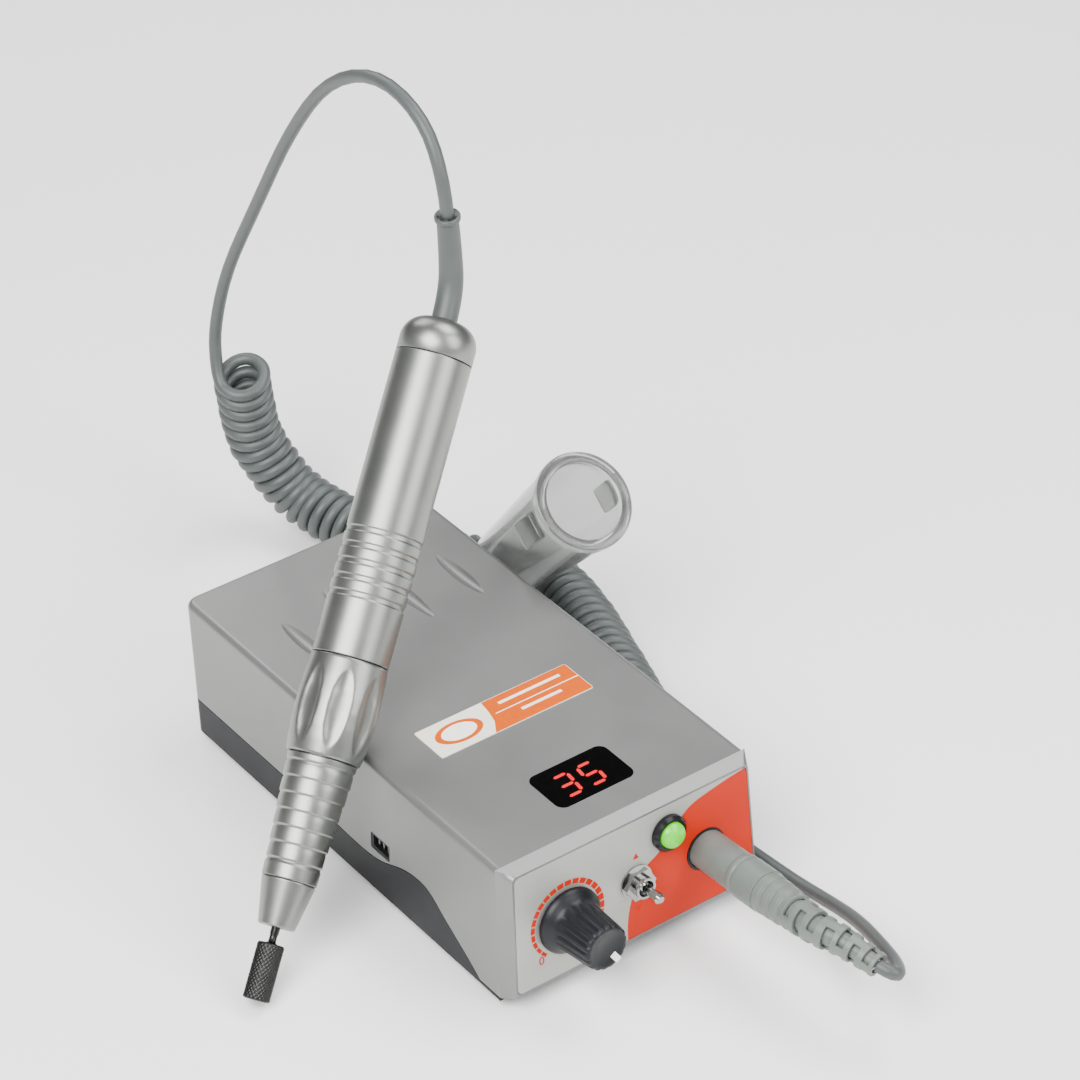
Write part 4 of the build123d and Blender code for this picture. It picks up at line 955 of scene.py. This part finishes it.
class NAILDRILL_OT_handpiece(bpy.types.Operator):
    """Add the turned pieces of the handpiece, its twist ring and its boot"""

    bl_idname = "naildrill.handpiece"
    bl_label = "Handpiece"

    def execute(self, context):
        finish = context.scene.naildrill_handpiece
        metal = blasted_aluminium(finish.metal)
        place = handpiece_place()
        self.nose(place, metal)
        self.ring(place, metal, finish)
        self.barrel(place, metal)
        self.boot(place)
        self.bit(place, finish)
        return {"FINISHED"}

    def nose(self, place, metal):
        """Nose cap and ribbed nose cone."""
        turned("nose_cap_turned", place,
               [(2.05, 19.2), (4.6, 19.2), (4.9, 19.5), (7.08, 31.1), (6.95, 31.4), (5.95, 31.4),
                (5.95, 26.0), (4.2, 26.0), (3.9, 21.2), (2.05, 21.2), (2.05, 19.2)],
               *ON_HANDPIECE, metal, ("nose_cap",), edge=0.15)
        outline = [(4.2, 26.2), (5.85, 26.2), (5.85, 31.5), (7.15, 31.5), (7.3, 31.7), (7.42, 35.1)]
        pitch = 4.25
        for number in range(6):
            low = 35.9 + number * pitch
            radius = 7.3 + 1.95 * (low - 35.9) / 27.8
            after = 7.3 + 1.95 * (low + pitch - 35.9) / 27.8
            outline += [(radius - 0.24, low - 0.1), (radius - 0.2, low + 0.25), (radius + 0.16, low + 0.6),
                        ((radius + after) / 2 + 0.04, low + pitch * 0.55), (after - 0.12, low + pitch - 0.7)]
        outline += [(8.72, 61.4), (8.78, 61.7), (9.12, 62.1), (9.25, 63.5), (9.05, 63.7), (8.2, 63.7),
                    (8.2, 93.0), (7.4, 93.0), (7.4, 57.5), (5.55, 57.5), (5.55, 52.0), (4.2, 52.0),
                    (4.2, 26.2)]
        turned("nose_cone_turned", place, outline, *ON_HANDPIECE, metal, ("nose_cone",), edge=0.14)

    def ring(self, place, metal, finish):
        """Twist ring with scooped flutes."""
        heights = [64.1 + 25.7 * number / 44 for number in range(45)]
        bulge = [(64.1, 9.78), (68.0, 10.5), (71.5, 10.92), (76.0, 11.2), (80.0, 11.1), (85.0, 10.72),
                 (89.8, 10.25)]
        outline = [(8.28, 63.9), (9.55, 63.9)]
        for height in heights:
            for (low, small), (high, large) in zip(bulge, bulge[1:]):
                if low <= height <= high + 0.01:
                    radius = small + (large - small) * (height - low) / (high - low)
                    break
            outline.append((radius, height))
        outline += [(10.05, 90.0), (8.28, 90.0), (8.28, 63.9)]
        bm = spun(outline, 16 * finish.flutes)
        for vert, radius, height, turn in around(bm):
            if radius < 9.3 * MM:
                continue
            span = (height - 66.0) / 21.0
            if not 0 < span < 1:
                continue
            half = 0.33 * (4 * span * (1 - span)) ** 0.55
            away = abs(turn * finish.flutes % 1 - 0.5)
            if away >= half:
                continue
            scoop = (1 - (away / half) ** 2) ** 0.8
            sink(vert, radius, finish.flute_depth * scoop * min(1.0, 4 * span * (1 - span) * 1.3))
        thing = placed("twist_ring", bm, place, "chuck_ring", "handpiece_grey", metal, ("chuck_ring",))
        round_edges(thing, 0.12, 50)

    def barrel(self, place, metal):
        """Motor barrel with its ring grooves, and the domed rear cap."""
        outline = [(8.25, 90.2), (10.05, 90.2), (10.25, 90.4)]
        for number in range(5):
            low = 106.2 + (number - 0.5) * 4.25
            outline += [(10.25, low + 0.9), (10.22, low + 1.2), (9.93, low + 1.5), (9.9, low + 2.6),
                        (10.22, low + 2.9), (10.25, low + 3.2)]
        outline += [(10.25, 171.75), (10.1, 171.9), (9.3, 171.9), (9.3, 93.2), (8.25, 93.2), (8.25, 90.2)]
        turned("motor_barrel", place, outline, *ON_HANDPIECE, metal, ("motor_housing",), edge=0.12)
        dome = [(9.2, 168.4), (9.2, 172.1), (10.12, 172.1), (10.25, 172.22), (10.25, 176.0)]
        for number in range(1, 13):
            angle = radians(90 * number / 12)
            dome.append((10.25 - 6.4 * (1 - cos(angle)), 176.0 + 6.4 * sin(angle)))
        dome += [(3.7, 182.3), (3.55, 182.1), (3.55, 180.4), (7.6, 180.4), (7.6, 168.4), (9.2, 168.4)]
        turned("rear_dome", place, dome, *ON_HANDPIECE, metal, ("rear_cap",), edge=0)

    def boot(self, place):
        """Bent boot and its lip."""
        cord = bpy.context.scene.naildrill_cord
        vinyl = soft_vinyl("vinyl_boot_moulded", cord.cord)
        start = place @ Vector((0, 0, 180.5 * MM))
        data = cord_curve("boot", [start] + [Vector(p) for p in BOOT_ROUTE], 7.0 * MM, (1.0, 0.98, 0.9, 0.84))
        data.splines[0].resolution_u = 16
        data.bevel_resolution = 8
        piece("boot", data, "handpiece", "black_rubber", vinyl, ("cord_boot",))
        end, before = Vector(BOOT_ROUTE[-1]), Vector(BOOT_ROUTE[-2])
        lip = standing(end, end - before)
        turned("boot_lip", lip, [(0, -1.7), (3.3, -1.7), (3.5, -1.4), (3.5, -0.3), (3.2, 0.0), (0, 0)],
               "handpiece", "black_rubber", vinyl, edge=0.2, segments=48)

    def bit(self, place, finish):
        """Cross-cut bit on its shank."""
        carbide = steel("tungsten_carbide_ground", finish.bit, 0.3)
        rows = 60
        outline = [(0, 0), (3.2, 0), (3.45, 0.25)]
        outline += [(3.62, 0.5 + 13.9 * number / rows) for number in range(rows + 1)]
        outline += [(3.3, 14.85), (1.6, 15.0), (1.05, 15.3), (1.0, 17.0), (1.175, 17.5), (1.175, 44), (0, 44)]
        teeth = round(FULL_TURN * 3.62 * MM / finish.tooth_pitch)
        bm = spun(outline, teeth * 8)
        for vert, radius, height, turn in around(bm):
            if radius < 3.5 * MM or not 0.4 < height < 14.6:
                continue
            one = abs((turn * teeth + height * 0.75) % 1 - 0.5) * 2
            two = abs((turn * teeth - height * 0.75) % 1 - 0.5) * 2
            sink(vert, radius, 0.3 * MM * (1 - min(one, two) ** 0.7))
        placed("cross_cut_bit", bm, place, "spindle", "bit_carbide", carbide, ("bit",))


class NAILDRILL_OT_knob(bpy.types.Operator):
    """Add the speed knob and its pointer"""

    bl_idname = "naildrill.knob"
    bl_label = "Speed knob"

    def execute(self, context):
        finish = context.scene.naildrill_case
        plastic = moulded_plastic("abs_knob_moulded", finish.knob, 0.4, 0.1)
        origin, direction = joint("speed_dial")
        place = standing(origin, direction)
        ribs = 18
        heights = [5.4 + 11.0 * number / 10 for number in range(11)]
        outline = [(6.2, 0.8), (9.3, 0.8), (9.4, 1.0), (9.3, 2.0), (8.6, 2.9), (7.7, 3.7), (7.25, 4.5)]
        outline += [(7.12 - 0.72 * (height - 5.4) / 11.0, height) for height in heights]
        outline += [(6.1, 16.8), (5.8, 17.0), (4.9, 17.0), (4.7, 16.8), (0, 16.8), (0, 12.1), (3.0, 12.1),
                    (3.0, 3.3), (6.2, 3.3), (6.2, 0.8)]
        bm = spun(outline, ribs * 10)
        for vert, radius, height, turn in around(bm):
            if radius < 5.95 * MM or height < 4.9:
                continue
            dip = max(0.0, cos((turn * ribs % 1 - 0.5) * FULL_TURN)) ** 0.8
            sink(vert, radius, 0.42 * MM * dip * min(1.0, (height - 4.9) / 1.6))
        thing = placed("fluted_knob", bm, place, "speed_knob", "knob_plastic", plastic, ("speed_knob",))
        round_edges(thing, 0.12, 50)
        dressed(ink("white_ink_printed", linear("E8E8E4")), "knob_pointer")
        dressed(steel("steel_shaft_turned", linear("B8B8B4")), "pot_shaft")
        return {"FINISHED"}


class NAILDRILL_OT_panel_print(bpy.types.Operator):
    """Add the printed film's orange scale and marks"""

    bl_idname = "naildrill.panel_print"
    bl_label = "Panel print"

    def execute(self, context):
        finish = context.scene.naildrill_case
        low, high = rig.box("front_overlay")
        film = printed_film("polyester_film_screen_printed", finish.panel, finish.accent, low[2], high[2])
        dressed(film, "front_overlay")
        orange = ink("orange_ink_printed", finish.accent)
        blocks = 22
        sweep = radians(279)
        bm = bmesh.new()
        for number in range(blocks):
            start = radians(229) - sweep * number / blocks
            thick = 1.0 + 0.9 * number / blocks
            ends = [bm.verts.new((radius * MM * cos(start), radius * MM * sin(start), 0))
                    for radius in (10.2, 10.2 + thick)]
            edge = bm.edges.new(ends)
            bmesh.ops.spin(bm, geom=ends + [edge], cent=(0, 0, 0), axis=(0, 0, -1),
                           angle=sweep / blocks * 0.8, steps=4)
        self.mark("speed_scale", bm, -22.0, 19.2, orange)
        bm = bmesh.new()
        for side in (1, -1):
            low_point = side * 7.6
            tip = [bm.verts.new((x * MM, y * MM, 0)) for x, y in
                   ((-0.9, low_point), (0.9, low_point), (0, low_point + side * 1.7))]
            bm.faces.new(tip)
        self.mark("direction_marks", bm, 0.6, 19.5, orange)
        text = bpy.data.curves.new("zero", "FONT")
        text.body = "0"
        text.size = 3.6 * MM
        text.align_x = "CENTER"
        text.align_y = "CENTER"
        bm = bmesh.new()
        bm.from_mesh(baked(text))
        self.mark("scale_zero", bm, -30.6, 10.0, orange)
        return {"FINISHED"}

    def mark(self, name, bm, x, y, material):
        """Lays flat marks on the film, as thick as ink."""
        printed(name, bm, panel_place(x, y, 0.01), "panel_print", material, 0.04)


class NAILDRILL_OT_display(bpy.types.Operator):
    """Add the lit digits of the display"""

    bl_idname = "naildrill.display"
    bl_label = "Display"

    def execute(self, context):
        finish = context.scene.naildrill_case
        glow = lit("led_segment_lit", finish.digits, 0.6)
        low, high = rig.box("display_window")
        dressed(self.smoked(), "display_window")
        bm = bmesh.new()
        for number, digit in enumerate("35"):
            self.digit(bm, digit, Vector((-4.3 + 7.7 * number, 0)))
        centre = ((low[0] + high[0]) / 2 - 0.0006, (low[1] + high[1]) / 2 - 0.0006, high[2] + 0.00001)
        printed("display_digits", bm, Matrix.Translation(centre), "window_smoke", glow, 0.05)
        return {"FINISHED"}

    def smoked(self):
        """Acrylic, smoked and polished: almost black, with a dim, slightly soft reflection."""
        return finished("acrylic_smoked_polished", linear("020202"), (0.3, 500), Roughness=0.2, IOR=1.15)

    def digit(self, bm, digit, centre):
        """Seven-segment digit, leaning to the right."""
        wide, tall, thick, gap, lean = 2.25, 4.1, 0.52, 0.3, 0.12
        bars = {
            "a": ((-wide, tall), (wide, tall)),
            "b": ((wide, 0), (wide, tall)),
            "c": ((wide, -tall), (wide, 0)),
            "d": ((-wide, -tall), (wide, -tall)),
            "f": ((-wide, 0), (-wide, tall)),
            "g": ((-wide, 0), (wide, 0)),
        }
        lit_bars = {"3": "abgcd", "5": "afgcd"}[digit]
        for name in lit_bars:
            start, finish = (Vector(point) for point in bars[name])
            way = (finish - start).normalized()
            over = Vector((-way.y, way.x)) * thick
            start, finish = start + way * gap, finish - way * gap
            ring = [start, start + way * thick + over, finish - way * thick + over, finish,
                    finish - way * thick - over, start + way * thick - over]
            bm.faces.new([bm.verts.new(((point.x + point.y * lean + centre.x) * MM,
                                        (point.y + centre.y) * MM, 0)) for point in ring])


class NAILDRILL_OT_label(bpy.types.Operator):
    """Add the printed orange field and lines of the top label"""

    bl_idname = "naildrill.label"
    bl_label = "Top label"

    def execute(self, context):
        finish = context.scene.naildrill_case
        dressed(ink("pale_label_film_printed", finish.label_pale), "top_label")
        orange = ink("orange_label_ink_printed", finish.label_orange)
        white = ink("white_label_ink_printed", linear("F6F1E6"))
        low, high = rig.box("top_label")
        edge = [(-3.1, 6.3), (-3.6, 2.4), (-4.7, -2.1), (-7.3, -6.4)]
        right = (high[0] - low[0]) / 2 / MM - 0.15
        field = [(right, 6.25), *((x, y * 0.99) for x, y in edge), (right, -6.25)]
        self.flat(field, "label_field", orange, 0.0)
        self.flat([(right, 0.35), (-2.6, 0.35), (-2.65, 0.05), (right, 0.05)], "label_line", white, 0.03)
        for row, (start, finish_x) in enumerate(((0.5, 20.5), (4.0, 17.0))):
            level = 3.3 - 5.6 * row
            corners = [(finish_x, level + 0.5), (start, level + 0.5), (start, level - 0.5),
                       (finish_x, level - 0.5)]
            self.flat(corners, "label_bar_" + str(row), white, 0.03)
        self.oval(orange, white)
        return {"FINISHED"}

    def place(self, lift):
        """Matrix on the top face of the label."""
        low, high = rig.box("top_label")
        return Matrix.Translation(((low[0] + high[0]) / 2, (low[1] + high[1]) / 2,
                                   high[2] + (0.01 + lift) * MM))

    def flat(self, points, name, material, lift):
        """Flat mark from its corners in millimetres."""
        bm = bmesh.new()
        bm.faces.new([bm.verts.new((x * MM, y * MM, 0)) for x, y in points])
        printed(name, bm, self.place(lift), "label_print", material, 0.03)

    def oval(self, orange, white):
        """Plain oval badge on the pale end."""
        ovals = (("label_badge", orange, 1.0, 0.0), ("label_badge_core", white, 0.74, 0.03))
        for name, material, scale, lift in ovals:
            bm = bmesh.new()
            bmesh.ops.create_circle(bm, cap_ends=True, segments=48, radius=1.0)
            size = Matrix.Diagonal((7.2 * scale * MM, 4.2 * scale * MM, 1, 1))
            shift = Matrix.Translation((-14.6 * MM, 0, 0))
            bmesh.ops.transform(bm, matrix=shift @ size, verts=bm.verts)
            printed(name, bm, self.place(lift), "label_print", material, 0.03)


class NAILDRILL_OT_cup(bpy.types.Operator):
    """Add the clear cup that holds the handpiece"""

    bl_idname = "naildrill.cup"
    bl_label = "Handpiece cup"

    def execute(self, context):
        acrylic = clear_acrylic("acrylic_cup_moulded", linear("C6C8C6"))
        mount = next(m for m in frame["record"]["mounts"] if m["name"] == "cup_mouth")
        way = Vector(mount["axis"]).normalized()
        mouth = Vector(mount["pos_m"]) + way * 1.5 * MM
        place = standing(mouth, way)
        bm = spun([(0, -60), (9.0, -60), (9.7, -59.7), (10.2, -59), (13.65, -3.3), (14.15, -3.0),
                   (14.3, -2.6), (14.3, -0.6), (14.1, -0.2), (13.7, 0), (11.5, 0), (11.1, -0.3),
                   (11.1, -3.0), (12.0, -4.2), (8.4, -57.6), (0, -57.6)])
        thing = placed("clear_cup", bm, place, "box", "clear_acrylic", acrylic, ("handpiece_cup",))
        round_edges(thing, 0.15, 40)
        self.lugs(place, acrylic)
        dressed(acrylic, "cup_bracket")
        dressed(steel("steel_screw_zinc_plated", linear("B5B5AE")), "bracket_screws")
        return {"FINISHED"}

    def lugs(self, place, acrylic):
        """Two square lugs on the flanks."""
        for number, side in enumerate((1, -1)):
            bm = bmesh.new()
            bmesh.ops.create_cube(bm, size=1.0)
            size = Matrix.Diagonal((2.2 * MM, 8.0 * MM, 10.5 * MM, 1))
            bmesh.ops.transform(bm, matrix=size, verts=bm.verts)
            bmesh.ops.bevel(bm, geom=bm.edges[:], offset=0.6 * MM, offset_type="OFFSET", affect="EDGES",
                            segments=3, profile=0.5, material=-1, clamp_overlap=True)
            shift = Matrix.Translation((side * 14.1 * MM, 0, -10.0 * MM))
            placed("cup_lug_" + str(number), bm, place @ shift, "box", "clear_acrylic", acrylic)


class NAILDRILL_OT_finishes(bpy.types.Operator):
    """Give the box, its controls and everything inside their finishes"""

    bl_idname = "naildrill.finishes"
    bl_label = "Finishes"

    def execute(self, context):
        finish = context.scene.naildrill_case
        dressed(silver_lacquer(finish.shell), "top_shell")
        dressed(moulded_plastic("abs_base_moulded", finish.base), "base_tray")
        dressed(rubber("rubber_foot_moulded", linear("141414")), "feet")
        dressed(steel("aluminium_panel_brushed", linear("B9B9B4"), 0.35), "front_panel")
        dressed(steel("steel_screw_blackened", linear("55555A")), "case_screws")
        for node in ("pot_nut", "toggle_nut", "toggle_lever"):
            dressed(chrome("nickel_plate_" + node), node)
        dressed(chrome("nickel_plate_bushing"), "toggle_switch")
        dressed(moulded_plastic("abs_lamp_bezel_gloss", linear("111214"), 0.22, 0.03), "lamp_bezel")
        dressed(lit("polycarbonate_lens_lit", finish.lamp, 0.35), "lamp_cover")
        dressed(moulded_plastic("abs_black_moulded", linear("17181A"), 0.42), "motor_jack", "charge_socket",
                "speed_pot", "display_module", "board_parts", "motor_magnets")
        dressed(steel("tin_plated_blade", linear("8E8E8A"), 0.35), "socket_blades")
        dressed(moulded_plastic("fibreglass_board_green", linear("1E5B32"), 0.35), "main_board")
        dressed(moulded_plastic("battery_sleeve_shrunk", linear("2F5FA8"), 0.3, 0.02), "battery_cells")
        for node in ("battery_tray", "brush_plate"):
            dressed(moulded_plastic("abs_grey_" + node, linear("6E6E6C")), node)
        dressed(moulded_plastic("carbon_brush_pressed", linear("26262A"), 0.6), "motor_brushes")
        dressed(steel("steel_turned", linear("B0B0AC")), "spindle", "collet", "disc_springs", "lock_sleeve",
                "motor_can", "drive_coupling", "spindle_bearings", "motor_bearings", "rotor", "motor_shaft",
                "board_screws")
        dressed(steel("copper_commutator_turned", linear("B87333")), "commutator")
        return {"FINISHED"}


class NAILDRILL_PT_panel(bpy.types.Panel):
    """Buttons that build the nail drill, in order"""

    bl_idname = "NAILDRILL_PT_panel"
    bl_label = "Nail Drill"
    bl_space_type = "VIEW_3D"
    bl_region_type = "UI"
    bl_category = "Nail Drill"

    def draw(self, context):
        for operator in OPERATORS:
            self.layout.operator(operator.bl_idname)
        for settings, kind in GROUPS:
            for name in kind.__annotations__:
                self.layout.prop(getattr(context.scene, settings), name)


OPERATORS = (
    NAILDRILL_OT_stage,
    NAILDRILL_OT_cord,
    NAILDRILL_OT_handpiece,
    NAILDRILL_OT_knob,
    NAILDRILL_OT_panel_print,
    NAILDRILL_OT_display,
    NAILDRILL_OT_label,
    NAILDRILL_OT_cup,
    NAILDRILL_OT_finishes,
)
GROUPS = (
    ("naildrill_case", CaseFinish),
    ("naildrill_handpiece", HandpieceFinish),
    ("naildrill_cord", CordFinish),
    ("naildrill_stage", StageSettings),
)


def register():
    for name, kind in GROUPS:
        bpy.utils.register_class(kind)
        setattr(bpy.types.Scene, name, PointerProperty(type=kind))
    for kind in OPERATORS + (NAILDRILL_PT_panel,):
        bpy.utils.register_class(kind)


def unregister():
    for kind in reversed(OPERATORS + (NAILDRILL_PT_panel,)):
        bpy.utils.unregister_class(kind)
    for name, kind in reversed(GROUPS):
        delattr(bpy.types.Scene, name)
        bpy.utils.unregister_class(kind)


def main():
    register()
    for operator in OPERATORS:
        group, name = operator.bl_idname.split(".")
        getattr(getattr(bpy.ops, group), name)()
    sizes = {"cad": [list(corner) for corner in cad_box], "visual": [list(corner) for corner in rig.bounds()]}
    with open("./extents.json", "w") as file:
        json.dump(sizes, file)


if __name__ == "__main__":
    main()
